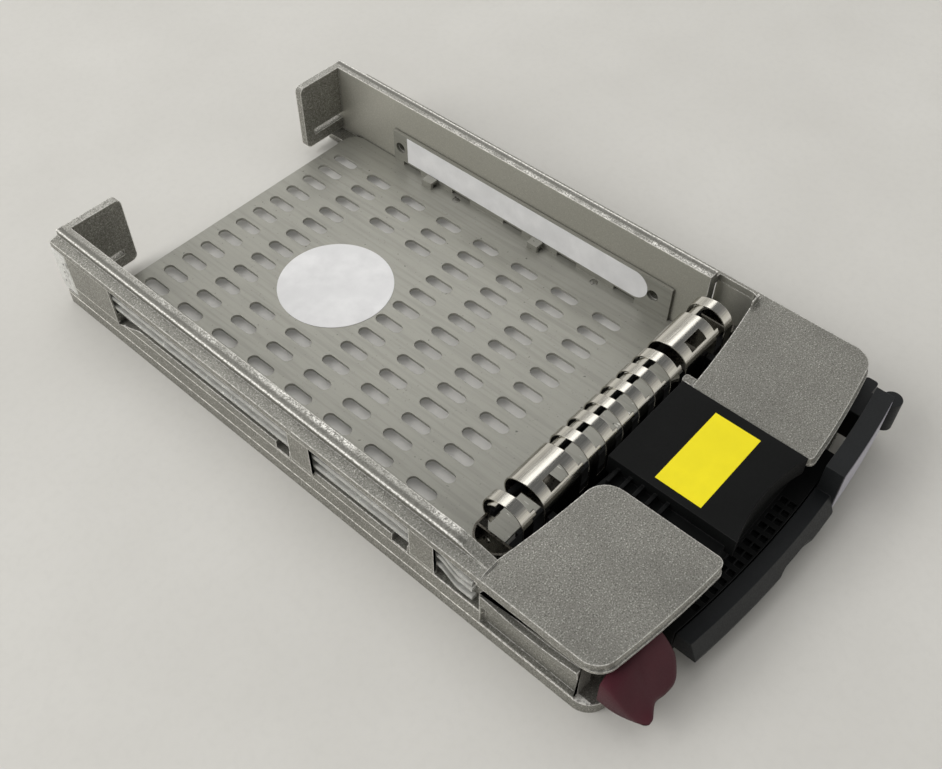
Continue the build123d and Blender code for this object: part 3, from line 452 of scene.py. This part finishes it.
def clearPlastic(name, tone, transmission, roughness, speckle):
    look = clearLook
    mat, tree, shader = newMaterial(name)
    spots = noise(tree, objectCoords(tree), speckle, look["detail"])
    base = ramp(tree, spots, look["places"], (scaled(tone, look["darker"]), tone))
    tree.links.new(base, shader.inputs["Base Color"])
    shader.inputs["Transmission Weight"].default_value = transmission
    shader.inputs["IOR"].default_value = look["refraction"]
    rough = spread(tree, spots, roughness, roughness + look["rougher"], *grainRange)
    tree.links.new(rough, shader.inputs["Roughness"])
    normal = bump(tree, spots, *look["bump"], roundedNormal(tree, look["rounding"]))
    tree.links.new(normal, shader.inputs["Normal"])
    return mat


finish = {
    "cast_metal": castMetal(),
    "floor_steel": floorSteel(),
    "shield_steel": shieldSteel(),
    "bracket_steel": plainSteel("bracketSteel", tone=(0.15, 0.14, 0.12), roughness=(0.22, 0.36)),
    "pin_steel": plainSteel("pinSteel", tone=(0.55, 0.54, 0.52), roughness=(0.2, 0.35)),
    "spring_steel": plainSteel("springSteel", tone=(0.40, 0.39, 0.37), roughness=(0.25, 0.4)),
    "screw_steel": plainSteel("screwSteel", tone=(0.50, 0.49, 0.46), roughness=(0.25, 0.42)),
    "black_plastic": mouldedPlastic("blackPlastic", tone=(0.0048, 0.0052, 0.0053),
                                    rubbedAndHighlit=(0.05, 0.05, 0.052), roughness=(0.46, 0.62), gloss=0.16),
    "lever_plastic": mouldedPlastic("leverPlastic", tone=(0.011, 0.0122, 0.0135),
                                    rubbedAndHighlit=(0.07, 0.073, 0.075), roughness=(0.42, 0.6), gloss=0.34),
    "latch_plastic": mouldedPlastic("latchPlastic", tone=(0.064, 0.0125, 0.02),
                                    rubbedAndHighlit=(0.11, 0.035, 0.045), roughness=(0.42, 0.58), gloss=0.25),
    "white_label": paperLabel("whiteLabel", tone=(0.79, 0.79, 0.80), shade=(0.69, 0.69, 0.70),
                              crease=22.0, roughness=0.42),
    "yellow_label": paperLabel("yellowLabel", tone=(0.90, 0.77, 0.010), shade=(0.83, 0.71, 0.009),
                               crease=8.0, roughness=0.38),
    "silver_label": paperLabel("silverLabel", tone=(0.52, 0.51, 0.58), shade=(0.44, 0.43, 0.50),
                               crease=14.0, roughness=0.4),
    "clear_plastic": clearPlastic("clearPlastic", tone=(0.72, 0.72, 0.69), transmission=0.5,
                                  roughness=0.14, speckle=300.0),
    "pipe_head_plastic": clearPlastic("pipeHeadPlastic", tone=(0.86, 0.86, 0.83), transmission=0.3,
                                      roughness=0.3, speckle=1100.0),
}
slotOf = {row["node"]: row["material_slot"] for row in frame["record"]["subparts"]}
for nodeName, node in nodes.items():
    node.data.materials.clear()
    node.data.materials.append(finish[slotOf[nodeName]])
print("finishes given to", len(nodes), "carried-over nodes")


# Small helpers for pieces

mergeWithin = 0.001 * mm


def once(items):
    # Each item once, in the order in which the items come.
    return list(dict.fromkeys(items))


def surface(bm, columns, rows, place):
    # A grid whose corners are put at place(u, v), with u and v from 0 to 1.
    made = bmesh.ops.create_grid(bm, x_segments=columns, y_segments=rows, size=0.5)
    for vert in made["verts"]:
        vert.co = place(vert.co.x + 0.5, vert.co.y + 0.5)


def addPiece(name, bm, slot, body, replaced=(), sharp=35):
    bmesh.ops.remove_doubles(bm, verts=bm.verts, dist=mergeWithin)
    bmesh.ops.recalc_face_normals(bm, faces=bm.faces)
    mesh = bpy.data.meshes.new(name)
    bm.to_mesh(mesh)
    bm.free()
    mesh.shade_smooth()
    mesh.set_sharp_from_angle(angle=math.radians(sharp))
    piece = bpy.data.objects.new(name, mesh)
    scene.collection.objects.link(piece)
    mesh.materials.append(finish[slot])
    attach(piece, body)
    if replaced:
        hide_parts(*replaced)
    print("piece", name, len(mesh.polygons), "faces")


def between(value, low, high):
    # 0 below low, 1 above high, with a soft passage between them.
    share = min(1.0, max(0.0, (value - low) / (high - low)))
    return share * share * (3 - 2 * share)


def lathe(bm, centre, profile, steps=32):
    # A closed profile of (radius, z) pairs, turned round an upright axis.
    def place(u, v):
        radius, z = profile[round(v * (len(profile) - 1))]
        angle = math.tau * u
        return Vector((centre[0] + radius * math.cos(angle), centre[1] + radius * math.sin(angle), z))
    surface(bm, steps, len(profile) - 1, place)


def roundedBox(bm, low, high, radius, segments=3):
    made = bmesh.ops.create_cube(bm, size=1.0)
    size = Vector(high) - Vector(low)
    centre = (Vector(high) + Vector(low)) / 2
    for vert in made["verts"]:
        vert.co = Vector(corner * length for corner, length in zip(vert.co, size)) + centre
    edges = once(edge for vert in made["verts"] for edge in vert.link_edges)
    bmesh.ops.bevel(bm, geom=edges, offset=radius, segments=segments, profile=0.5,
                    affect="EDGES", material=-1, clamp_overlap=True)


# Spring shield strip, in sheet that is thin and bright

stripLook = {
    # Angles in degrees round the strip's axis, from level at the rear over the crest to the front.
    "sheet": 0.35 * mm, "rearAngle": -50.0, "frontAngle": 180.0, "arcStep": 5.0, "band": 2.6 * mm,
    "narrow": 3.5 * mm, "pitch": 6.75 * mm, "narrowCount": 6, "wide": 13.6 * mm, "wideGap": 4.25 * mm,
    "window": (3.5 * mm, 10.1 * mm), "windowArc": (105.0, 140.0),
    "web": (40.0, 70.0), "endWeb": 1.2 * mm, "tab": 1.5 * mm, "tabArc": (140.0, 155.0),
    "bulge": 1.0 * mm, "bulgeFrom": 78.0, "bulgeFull": 25.0,
    # The shelves and the bar below are dark pieces that stand for painted shade inside the strip.
    "shadeShelfY": (-4.4 * mm, 5.0 * mm), "shadeShelfZ": (-3.3 * mm, -2.8 * mm), "shadeShelfOver": 1.0 * mm,
    "shadeShelfRound": 0.1 * mm, "shadeBarY": (3.4 * mm, 5.0 * mm), "shadeBarZ": (-2.7 * mm, -0.1 * mm),
    "shadeBarInset": 0.4 * mm, "shadeBarRound": 0.2 * mm,
}


def shieldFingers():
    look = stripLook
    low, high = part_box("shield_strip")
    radius = (high.y - low.y) / 2
    centre = Vector(((low.x + high.x) / 2, low.y + radius, high.z - radius))
    bm = bmesh.new()

    def arc(x0, x1, start, end, bulge=0.0):
        def place(u, v):
            turn = start + (end - start) * v
            angle = math.radians(turn)
            reach = radius + bulge * between(-turn, -look["bulgeFrom"], -look["bulgeFull"])
            across = reach * math.cos(angle)
            return Vector((x0 + (x1 - x0) * u, centre.y + across, centre.z + reach * math.sin(angle)))
        surface(bm, 1, round((end - start) / look["arcStep"]), place)

    def leg(x0, x1, z0, z1):
        surface(bm, 1, 1, lambda u, v: Vector((x0 + (x1 - x0) * u, low.y, z0 + (z1 - z0) * v)))

    bandTop = low.z + look["band"]
    spans = []
    for index in range(look["narrowCount"]):
        x = centre.x + look["pitch"] * (index - (look["narrowCount"] - 1) / 2)
        spans.append((x - look["narrow"] / 2, x + look["narrow"] / 2))
    windows = {}
    for side in (-1, 1):
        endX = centre.x + side * ((high.x - low.x) / 2 - look["narrow"] / 2)
        wideX = endX - side * (look["narrow"] / 2 + look["wideGap"] + look["wide"] / 2)
        spans.append((endX - look["narrow"] / 2, endX + look["narrow"] / 2))
        spans.append((wideX - look["wide"] / 2, wideX + look["wide"] / 2))
        windows[spans[-1]] = tuple(spans[-1][0] + edge for edge in look["window"])
    spans.sort()
    for span in spans:
        cuts = [span[0], *windows.get(span, ()), span[1]]
        for x0, x1 in zip(cuts, cuts[1:]):
            if (x0, x1) == windows.get(span):
                arc(x0, x1, look["rearAngle"], look["windowArc"][0], look["bulge"])
                arc(x0, x1, look["windowArc"][1], look["frontAngle"])
            else:
                arc(x0, x1, look["rearAngle"], look["frontAngle"], look["bulge"])
            leg(x0, x1, bandTop, centre.z)
            leg(x0, x1, low.z, bandTop)
    gaps = [(before[1], after[0]) for before, after in zip(spans, spans[1:])]
    for x0, x1 in gaps:
        leg(x0, x1, low.z, bandTop)
        arc(x0, x0 + look["tab"], *look["tabArc"])
    # Webs behind the crest join the fingers, all but two gaps beside the wide ones.
    webbed = [gap for place, gap in enumerate(gaps) if place not in (0, len(gaps) - 2)]
    for x0, x1 in webbed + [(low.x - look["endWeb"], low.x)]:
        arc(x0, x1, *look["web"])
    bmesh.ops.remove_doubles(bm, verts=bm.verts, dist=mergeWithin)
    bmesh.ops.recalc_face_normals(bm, faces=bm.faces)
    crest = max(bm.faces, key=lambda face: face.calc_center_median().z)
    if crest.normal.z < 0:
        bmesh.ops.reverse_faces(bm, faces=bm.faces)
    bmesh.ops.solidify(bm, geom=bm.faces, thickness=look["sheet"])
    addPiece("shieldFingers", bm, "shield_steel", "carrier", ("shield_strip",))
    # A dark bar against the rear of the fingers, seen in the gaps behind the crest: it stands for painted
    # shade.
    bm = bmesh.new()
    shadeBarLow = (low.x + look["shadeBarInset"], centre.y + look["shadeBarY"][0], centre.z + look["shadeBarZ"][0])
    shadeBarHigh = (high.x - look["shadeBarInset"], centre.y + look["shadeBarY"][1], centre.z + look["shadeBarZ"][1])
    roundedBox(bm, shadeBarLow, shadeBarHigh, look["shadeBarRound"], 2)
    addPiece("shieldShadeBar", bm, "black_plastic", "carrier")
    # Dark shelves below the windows of the wide fingers: painted shade seen through the windows.
    bm = bmesh.new()
    for x0, x1 in windows.values():
        shadeShelfLow = (x0 - look["shadeShelfOver"], centre.y + look["shadeShelfY"][0], centre.z + look["shadeShelfZ"][0])
        shadeShelfHigh = (x1 + look["shadeShelfOver"], centre.y + look["shadeShelfY"][1], centre.z + look["shadeShelfZ"][1])
        roundedBox(bm, shadeShelfLow, shadeShelfHigh, look["shadeShelfRound"], 2)
    addPiece("shieldShadeShelves", bm, "bracket_steel", "carrier")


shieldFingers()


# Release latch: a sculpted paddle on a hub

latchLook = {
    # Outline in mm from the front left corner of the latch's box, seen from above.
    "outline": [(18.4, 12.2), (18.4, 6.0), (18.2, 4.4), (16.6, 2.6), (14.5, 1.4), (11.2, 1.4), (7.9, 1.9),
                (4.4, 0.05), (3.1, 0.0), (1.8, 1.7), (0.3, 6.5), (0.0, 10.6), (1.2, 12.2)],
    # Rows from the middle of the top to the rim: the share of the way out and of the edge's fall.
    "rows": [(0.0, 0.0), (0.3, 0.0), (0.55, 0.0), (0.75, 0.0), (0.87, 0.0), (0.95, 0.18), (0.985, 0.5),
             (1.0, 1.0)],
    "steps": 6, "middle": (9.3 * mm, 9.0 * mm), "underside": 0.96, "edge": 0.9 * mm, "lip": 0.5 * mm,
    "drop": 8.6 * mm, "slopeStart": 10.5 * mm, "leftDrop": 1.6 * mm, "leftReach": 5.0 * mm,
    "thumb": 0.6 * mm, "thumbPlace": (9.5 * mm, 6 * mm), "thumbReach": 5 * mm,
    "pivot": (-47.2 * mm, -85.5 * mm), "hubRadius": 3.4 * mm, "holeRadius": 1.3 * mm, "chamfer": 0.3 * mm,
    "armWidth": 6.0 * mm, "armFront": 0.5 * mm, "armOverlap": 0.6 * mm, "armDrop": 0.15 * mm,
}


def splinePoint(points, index, share):
    # A Catmull-Rom curve through a closed list of points.
    p0, p1, p2, p3 = (Vector(points[(index + step) % len(points)]) for step in (-1, 0, 1, 2))
    a = 2 * p1
    b = p2 - p0
    c = 2 * p0 - 5 * p1 + 4 * p2 - p3
    d = 3 * p1 - p0 - 3 * p2 + p3
    return 0.5 * (a + b * share + c * share ** 2 + d * share ** 3)


def latchPaddle():
    look = latchLook
    low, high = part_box("release_latch")
    outline = []
    for index in range(len(look["outline"])):
        straight = index in (0, len(look["outline"]) - 1)
        for step in range(look["steps"]):
            share = step / look["steps"]
            if straight:
                after = look["outline"][(index + 1) % len(look["outline"])]
                point = Vector(look["outline"][index]).lerp(Vector(after), share)
            else:
                point = splinePoint(look["outline"], index, share)
            outline.append(Vector((low.x + point.x * mm, low.y + point.y * mm)))
    outline = [Vector((min(high.x, max(low.x, p.x)), max(low.y, p.y))) for p in outline]
    middleX, middleY = look["middle"]
    centre = Vector((low.x + middleX, low.y + middleY))
    thumbX, thumbY = look["thumbPlace"]

    def top(point):
        forward = between(low.y + look["slopeStart"] - point.y, 0.0, look["slopeStart"])
        leftward = between(low.x + look["leftReach"] - point.x, 0.0, look["leftReach"])
        hollow = math.exp(-((point.x - low.x - thumbX) / look["thumbReach"]) ** 2)
        hollow *= between(low.y + thumbY - point.y, 0, look["thumbReach"])
        return high.z - look["drop"] * forward - look["leftDrop"] * leftward - look["thumb"] * hollow

    # The top's rows, the foot of the rim, and two rows more for the underside.
    rows = look["rows"]

    def place(u, v):
        rim = outline[round(u * len(outline)) % len(outline)]
        row = round(v * (len(rows) + 2))
        if row < len(rows):
            share, fall = rows[row]
            point = centre.lerp(rim, share)
            return Vector((*point, top(point) - fall * look["edge"]))
        if row == len(rows):
            return Vector((*rim, low.z + look["lip"]))
        share = look["underside"] if row == len(rows) + 1 else 0.0
        return Vector((*centre.lerp(rim, share), low.z))

    bm = bmesh.new()
    surface(bm, len(outline), len(rows) + 2, place)
    edge = look["chamfer"]
    hole, hub = look["holeRadius"], look["hubRadius"]
    profile = [(hole, low.z + edge), (hole + edge, low.z), (hub - edge, low.z), (hub, low.z + edge),
               (hub, high.z - edge), (hub - edge, high.z), (hole + edge, high.z), (hole, high.z - edge),
               (hole, low.z + edge)]
    lathe(bm, look["pivot"], profile)
    half = look["armWidth"] / 2
    x, y = look["pivot"]
    armLow = (x - half, low.y + look["slopeStart"] + look["armFront"], low.z)
    armHigh = (x + half, y - hub + look["armOverlap"], high.z - look["armDrop"])
    roundedBox(bm, armLow, armHigh, edge)
    addPiece("latchPaddle", bm, "latch_plastic", "latch", ("release_latch",), 40)


latchPaddle()


# Light pipes with a soft bend, and the clear head that holds their rear ends

pipeLook = {
    "halfHeight": 0.8 * mm, "bendStart": -45.0 * mm, "bendEnd": -51.5 * mm, "bendRows": 12,
    "around": 16, "squareness": 0.45,
}


def lightPipe(node):
    look = pipeLook
    low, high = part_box(node)
    half = Vector(((high.x - low.x) / 2, 0, look["halfHeight"]))
    level = high.z - half.z
    drop = level - (low.z + half.z)
    bend = [look["bendStart"] + (look["bendEnd"] - look["bendStart"]) * step / look["bendRows"]
            for step in range(look["bendRows"] + 1)]
    stations = [high.y, *bend, low.y]

    def place(u, v):
        angle = math.tau * u
        row = round(v * (len(stations) + 1))
        y = stations[min(len(stations) - 1, max(0, row - 1))]
        size = 0.0 if row in (0, len(stations) + 1) else 1.0
        power = look["squareness"]
        across = math.copysign(abs(math.cos(angle)) ** power, math.cos(angle))
        upward = math.copysign(abs(math.sin(angle)) ** power, math.sin(angle))
        z = level - drop * between(-y, -look["bendStart"], -look["bendEnd"])
        return Vector(((low.x + high.x) / 2 + size * half.x * across, y, z + size * half.z * upward))

    bm = bmesh.new()
    surface(bm, look["around"], len(stations) + 1, place)
    name = "".join(word.capitalize() if place else word for place, word in enumerate(node.split("_")))
    addPiece(name, bm, "clear_plastic", "carrier", (node,), 50)


for pipeNode in ("upper_light_pipe", "middle_light_pipe", "lower_light_pipe"):
    lightPipe(pipeNode)

headLook = {
    "round": 0.5 * mm, "flangeX": (0.2 * mm, 4.4 * mm), "flangeDepth": 1.5 * mm, "flangeBottom": 6.0 * mm,
    "socketPlaces": [(1.6 * mm, 12.2 * mm), (2.6 * mm, 8.4 * mm), (3.6 * mm, 4.6 * mm)],
    "socketRadius": 1.55 * mm, "socketInside": 1.0 * mm, "socketEdge": 0.18 * mm,
    "dotRadius": 0.42 * mm, "dotInside": 0.6 * mm, "dotEdge": 0.05 * mm, "rimSlope": 0.3,
}


def discOnSide(bm, y, z, outerX, innerX, radius, edge, steps=24):
    # A round boss whose axis runs across the part, with a softened rim.
    slope = headLook["rimSlope"] * edge
    profile = [(0.0, outerX), (radius - edge, outerX), (radius - slope, outerX + slope),
               (radius, outerX + edge), (radius, innerX), (0.0, innerX)]

    def place(u, v):
        size, x = profile[round(v * (len(profile) - 1))]
        angle = math.tau * u
        return Vector((x, y + size * math.cos(angle), z + size * math.sin(angle)))
    surface(bm, steps, len(profile) - 1, place)


def pipeHead():
    look = headLook
    low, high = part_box("light_pipe_head")
    outside = cadBox[0][0]
    bm = bmesh.new()
    roundedBox(bm, low, high, look["round"])
    near, far = look["flangeX"]
    flangeLow = (low.x + near, high.y - look["flangeDepth"], low.z + look["flangeBottom"])
    roundedBox(bm, flangeLow, (low.x + far, high.y, high.z), look["round"])
    for y, z in look["socketPlaces"]:
        inside = low.x + look["socketInside"]
        discOnSide(bm, low.y + y, low.z + z, outside, inside, look["socketRadius"], look["socketEdge"])
    addPiece("pipeHead", bm, "pipe_head_plastic", "carrier", ("light_pipe_head",), 40)
    bm = bmesh.new()
    for y, z in look["socketPlaces"]:
        inside = low.x + look["dotInside"]
        discOnSide(bm, low.y + y, low.z + z, outside, inside, look["dotRadius"], look["dotEdge"], 12)
    addPiece("pipeHeadDots", bm, "black_plastic", "carrier", (), 40)


pipeHead()


# Left rail with the layered side wall of its nose

noseLook = {
    # Height and depth of each level of the outer wall, and whether it follows the ridge or the lower line.
    "levels": [(4.6 * mm, 0.0, ""), (4.7 * mm, 1.5 * mm, ""), (11.6 * mm, 1.5 * mm, "low"),
               (12.0 * mm, 0.6 * mm, "low"), (17.0 * mm, 0.0, "ridge"), (17.2 * mm, 1.6 * mm, "ridge"),
               (18.4 * mm, 1.6 * mm, "")],
    "noseRear": -58.5 * mm, "rearY": -59.2 * mm, "columns": 10, "ridgeLength": 28 * mm,
    "ridgeDip": 1.4 * mm, "lowStart": -0.8 * mm, "lowRise": 1.9 * mm,
    "channel": (11.4 * mm, 22.1 * mm), "clipRecess": 0.8 * mm, "flat": 0.02 * mm,
}


def leftRailShape():
    look = noseLook
    bm = bmesh.new()
    bm.from_mesh(nodes["left_rail"].data)
    bmesh.ops.remove_doubles(bm, verts=bm.verts, dist=mergeWithin)
    outerX = cadBox[0][0]
    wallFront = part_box("left_rail")[0].y
    levels, noseRear, flat = look["levels"], look["noseRear"], look["flat"]

    def outerFaces():
        return [face for face in bm.faces if all(abs(vert.co.x - outerX) < flat for vert in face.verts)]

    def noseFaces():
        return [face for face in outerFaces() if min(vert.co.y for vert in face.verts) < noseRear - flat
                and max(vert.co.z for vert in face.verts) < levels[-1][0] + flat]

    def cut(faces, place, normal):
        edges = once(edge for face in faces for edge in face.edges)
        verts = once(vert for face in faces for vert in face.verts)
        bmesh.ops.bisect_plane(bm, geom=[*verts, *edges, *faces], dist=flat / 4,
                               plane_co=place, plane_no=normal)

    cut(noseFaces(), (0, noseRear, 0), (0, 1, 0))
    length = look["rearY"] - wallFront
    for step in range(look["columns"] + 1):
        cut(noseFaces(), (0, look["rearY"] - length * step / look["columns"], 0), (0, 1, 0))
    for level in levels:
        cut(noseFaces(), (0, 0, level[0]), (0, 0, 1))
    for vert in bm.verts:
        onWall = abs(vert.co.x - outerX) < flat and vert.co.y < look["rearY"] + flat
        if not onWall or not levels[0][0] + flat < vert.co.z < levels[-1][0] + flat:
            continue
        share = min(1.0, (look["rearY"] - vert.co.y) / look["ridgeLength"])
        lift = {"": 0.0, "ridge": -look["ridgeDip"] * math.sin(math.pi * share),
                "low": look["lowStart"] + look["lowRise"] * share}
        below, above = next(pair for pair in zip(levels, levels[1:]) if vert.co.z < pair[1][0] + flat)
        part = (vert.co.z - below[0]) / (above[0] - below[0])
        vert.co.x += below[1] + (above[1] - below[1]) * part
        vert.co.z += lift[below[2]] + (lift[above[2]] - lift[below[2]]) * part
    bmesh.ops.triangulate(bm, faces=[face for face in bm.faces if len(face.verts) > 4])
    # The clips over the channel sit back from the flange.
    for z in look["channel"]:
        cut(outerFaces(), (0, 0, z), (0, 0, 1))
    low, high = look["channel"]
    clips = [face for face in outerFaces() if low < face.calc_center_median().z < high
             and face.calc_center_median().y > noseRear + flat]
    made = bmesh.ops.extrude_face_region(bm, geom=clips)
    pushed = [item for item in made["geom"] if isinstance(item, bmesh.types.BMVert)]
    bmesh.ops.translate(bm, verts=pushed, vec=(look["clipRecess"], 0, 0))
    addPiece("leftRailShape", bm, "cast_metal", "carrier", ("left_rail",), 1)


leftRailShape()


# Panel that closes the window in the right rail's side

panelLook = {
    "x": (57.0 * mm, 58.4 * mm), "y": (-58.2 * mm, -44.6 * mm), "z": (8.6 * mm, 22.4 * mm),
    "round": 0.4 * mm,
}


def sideWindowPanel():
    look = panelLook
    bm = bmesh.new()
    low, high = zip(look["x"], look["y"], look["z"])
    roundedBox(bm, low, high, look["round"])
    addPiece("sideWindowPanel", bm, "cast_metal", "carrier")


sideWindowPanel()


# Countersunk screws with a cross recess, heads down

screwLook = {
    "headRadius": 2.3 * mm, "shankRadius": 1.2 * mm, "headHeight": 1.1 * mm, "edge": 0.15 * mm,
    "crossReach": 1.35 * mm, "crossHalfWidth": 0.36 * mm, "crossDepth": 0.75 * mm,
    "crossFloor": 0.6, "crossRim": 1.12, "steps": 64,
}


def crossRadius(angle):
    look = screwLook
    turn = angle % (math.pi / 2)
    off = min(turn, math.pi / 2 - turn)
    return min(look["crossReach"], look["crossHalfWidth"] / max(math.sin(off), 0.001))


def screw(bm, x, y, bottomZ, topZ):
    look = screwLook
    head, shank, edge, depth = (look[key] for key in ("headRadius", "shankRadius", "edge", "crossDepth"))
    height = topZ - bottomZ
    # Each row gives a radius, or None for the cross outline, a scale and a height.
    rows = [(0.0, 1.0, depth), (None, look["crossFloor"], depth), (None, 1.0, 0.0),
            (None, look["crossRim"], 0.0), (head - edge, 1.0, 0.0), (head, 1.0, edge),
            (shank, 1.0, look["headHeight"]), (shank, 1.0, height - edge), (shank - edge, 1.0, height),
            (0.0, 1.0, height)]

    def place(u, v):
        radius, scale, rise = rows[round(v * (len(rows) - 1))]
        angle = math.tau * u
        reach = scale * (crossRadius(angle) if radius is None else radius)
        return Vector((x + reach * math.cos(angle), y + reach * math.sin(angle), bottomZ + rise))
    surface(bm, look["steps"], len(rows) - 1, place)


def screws(node, name):
    low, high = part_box(node)
    bm = bmesh.new()
    inset = screwLook["headRadius"]
    for x in (low.x + inset, high.x - inset):
        for y in (low.y + inset, high.y - inset):
            screw(bm, x, y, low.z, high.z)
    addPiece(name, bm, "screw_steel", "carrier", (node,), 40)


screws("floor_screws", "floorScrews")
screws("bezel_screws", "bezelScrews")


# Camera, floor and light

cameraPlace = {
    "location": (-148.29 * mm, -134.83 * mm, 234.67 * mm),
    "turn": (39.514, -0.231, -48.329), "lens": 41.28, "sensor": 36.0, "clip": (0.01, 50.0),
}


def makeCamera():
    data = bpy.data.cameras.new("camera")
    data.lens = cameraPlace["lens"]
    data.sensor_width = cameraPlace["sensor"]
    data.clip_start, data.clip_end = cameraPlace["clip"]
    camera = bpy.data.objects.new("camera", data)
    camera.location = cameraPlace["location"]
    camera.rotation_euler = Euler([math.radians(angle) for angle in cameraPlace["turn"]])
    scene.collection.objects.link(camera)
    scene.camera = camera


floorLook = {
    "size": 6.0, "cloud": (14.0, 4.0), "places": (0.3, 0.7),
    "tones": ((0.60, 0.59, 0.562), (0.65, 0.64, 0.612)),
    "flecks": (420.0, 3.0), "fleck": (0.52, 0.51, 0.485), "fleckShare": (0.0, 0.12, 0.45, 0.7),
    "roughness": 0.75, "gloss": 0.25,
    "glow": 0.09, "glowColour": (0.98, 0.97, 0.94), "glowEdge": 1.5 * mm, "farGlow": (0.0, 0.50, 0.35, 1.7),
}


def makeFloor():
    look = floorLook
    mesh = bpy.data.meshes.new("floor")
    bm = bmesh.new()
    bmesh.ops.create_grid(bm, x_segments=1, y_segments=1, size=look["size"] / 2)
    bm.to_mesh(mesh)
    bm.free()
    floor = bpy.data.objects.new("floor", mesh)
    scene.collection.objects.link(floor)
    mat, tree, shader = newMaterial("floorPaper")
    coords = objectCoords(tree)
    base = ramp(tree, noise(tree, coords, *look["cloud"]), look["places"], look["tones"])
    flecks = spread(tree, noise(tree, coords, *look["flecks"]), *look["fleckShare"])
    tree.links.new(mixColour(tree, flecks, base, look["fleck"]), shader.inputs["Base Color"])
    shader.inputs["Roughness"].default_value = look["roughness"]
    shader.inputs["Specular IOR Level"].default_value = look["gloss"]
    # Painted light: the floor glows under the plate, so it stays pale where it shows through the slots of
    # the floor plate.
    shader.inputs["Emission Color"].default_value = (*look["glowColour"], 1)
    glow = math2(tree, "ADD", glowUnderPlate(tree, coords), farGlow(tree, coords))
    tree.links.new(glow, shader.inputs["Emission Strength"])
    floor.data.materials.append(mat)


def farGlow(tree, coords):
    # Keeps the floor pale towards the horizon, and puts no more light on the part.
    radius = addNode(tree, "ShaderNodeVectorMath", operation="LENGTH")
    tree.links.new(coords, radius.inputs[0])
    far = spread(tree, radius.outputs["Value"], *floorLook["farGlow"])
    return math2(tree, "MULTIPLY", far, seenRay(tree))


def seenRay(tree):
    # 1 for what the camera sees, directly, in metal or through glass.
    path = addNode(tree, "ShaderNodeLightPath")
    through = math2(tree, "MAXIMUM", path.outputs["Is Glossy Ray"], path.outputs["Is Transmission Ray"])
    return math2(tree, "MAXIMUM", path.outputs["Is Camera Ray"], through)


def glowUnderPlate(tree, coords):
    # The glow, kept inside the outline of the floor plate.
    low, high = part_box("floor_plate")
    place = axes(tree, coords)
    inside = floorLook["glow"]
    for axis, lowEnd, highEnd in (("X", low.x, high.x), ("Y", low.y, high.y)):
        middle = (lowEnd + highEnd) / 2
        half = (highEnd - lowEnd) / 2
        off = math2(tree, "ABSOLUTE", math2(tree, "SUBTRACT", place[axis], middle), 0.0)
        within = spread(tree, off, 1.0, 0.0, half - floorLook["glowEdge"], half)
        inside = math2(tree, "MULTIPLY", within, inside)
    return inside


lampAim = (0, 0, 10 * mm)
lampLook = {
    "window": {"place": (0.25, 1.30, 1.75), "width": 3.4, "height": 0.8, "power": 13.5,
               "tone": (1.0, 0.99, 0.965)},
    "ceiling": {"place": (0.3, -0.1, 1.8), "width": 1.6, "height": 1.6, "power": 8.5,
                "tone": (1.0, 0.985, 0.96), "inReflections": False},
    "side": {"place": (-1.35, 0.75, 1.15), "width": 1.2, "height": 1.2, "power": 21.0,
             "tone": (1.0, 0.99, 0.97), "inReflections": False},
}
# Colours of the room from the horizon to straight above.
worldLook = {
    "places": (0.0, 0.22, 0.46, 0.65, 0.82, 1.0),
    "light": ((0.55, 0.54, 0.50), (0.78, 0.765, 0.71), (0.54, 0.53, 0.50),
              (0.31, 0.31, 0.31), (0.14, 0.145, 0.15), (0.20, 0.20, 0.20)),
    "backdrop": ((0.80, 0.79, 0.77), (0.78, 0.765, 0.72), (0.54, 0.53, 0.50),
                 (0.31, 0.31, 0.31), (0.14, 0.145, 0.15), (0.20, 0.20, 0.20)),
}


def makeLamps():
    for name, lamp in lampLook.items():
        data = bpy.data.lights.new(name, "AREA")
        data.shape = "RECTANGLE"
        data.energy = lamp["power"]
        data.size = lamp["width"]
        data.size_y = lamp["height"]
        data.color = lamp["tone"]
        light = bpy.data.objects.new(name, data)
        light.location = lamp["place"]
        towards = Vector(lampAim) - Vector(lamp["place"])
        light.rotation_euler = towards.to_track_quat("-Z", "Y").to_euler()
        light.visible_glossy = lamp.get("inReflections", True)
        scene.collection.objects.link(light)


def makeWorld():
    look = worldLook
    world = bpy.data.worlds.new("studio")
    world.use_nodes = True
    scene.world = world
    tree = world.node_tree
    background = tree.nodes["Background"]
    coords = addNode(tree, "ShaderNodeTexCoord")
    height = axes(tree, coords.outputs["Generated"])["Z"]
    tree.links.new(ramp(tree, height, look["places"], look["light"]), background.inputs["Color"])
    # A paler backdrop for the camera, metal and glass, which puts no more light on the part.
    seen = addNode(tree, "ShaderNodeBackground")
    tree.links.new(ramp(tree, height, look["places"], look["backdrop"]), seen.inputs["Color"])
    mix = addNode(tree, "ShaderNodeMixShader")
    tree.links.new(seenRay(tree), mix.inputs[0])
    tree.links.new(background.outputs[0], mix.inputs[1])
    tree.links.new(seen.outputs[0], mix.inputs[2])
    tree.links.new(mix.outputs[0], tree.nodes["World Output"].inputs["Surface"])


makeCamera()
makeFloor()
makeLamps()
makeWorld()
scene.view_settings.view_transform = "Standard"
print("camera, floor and light are set")
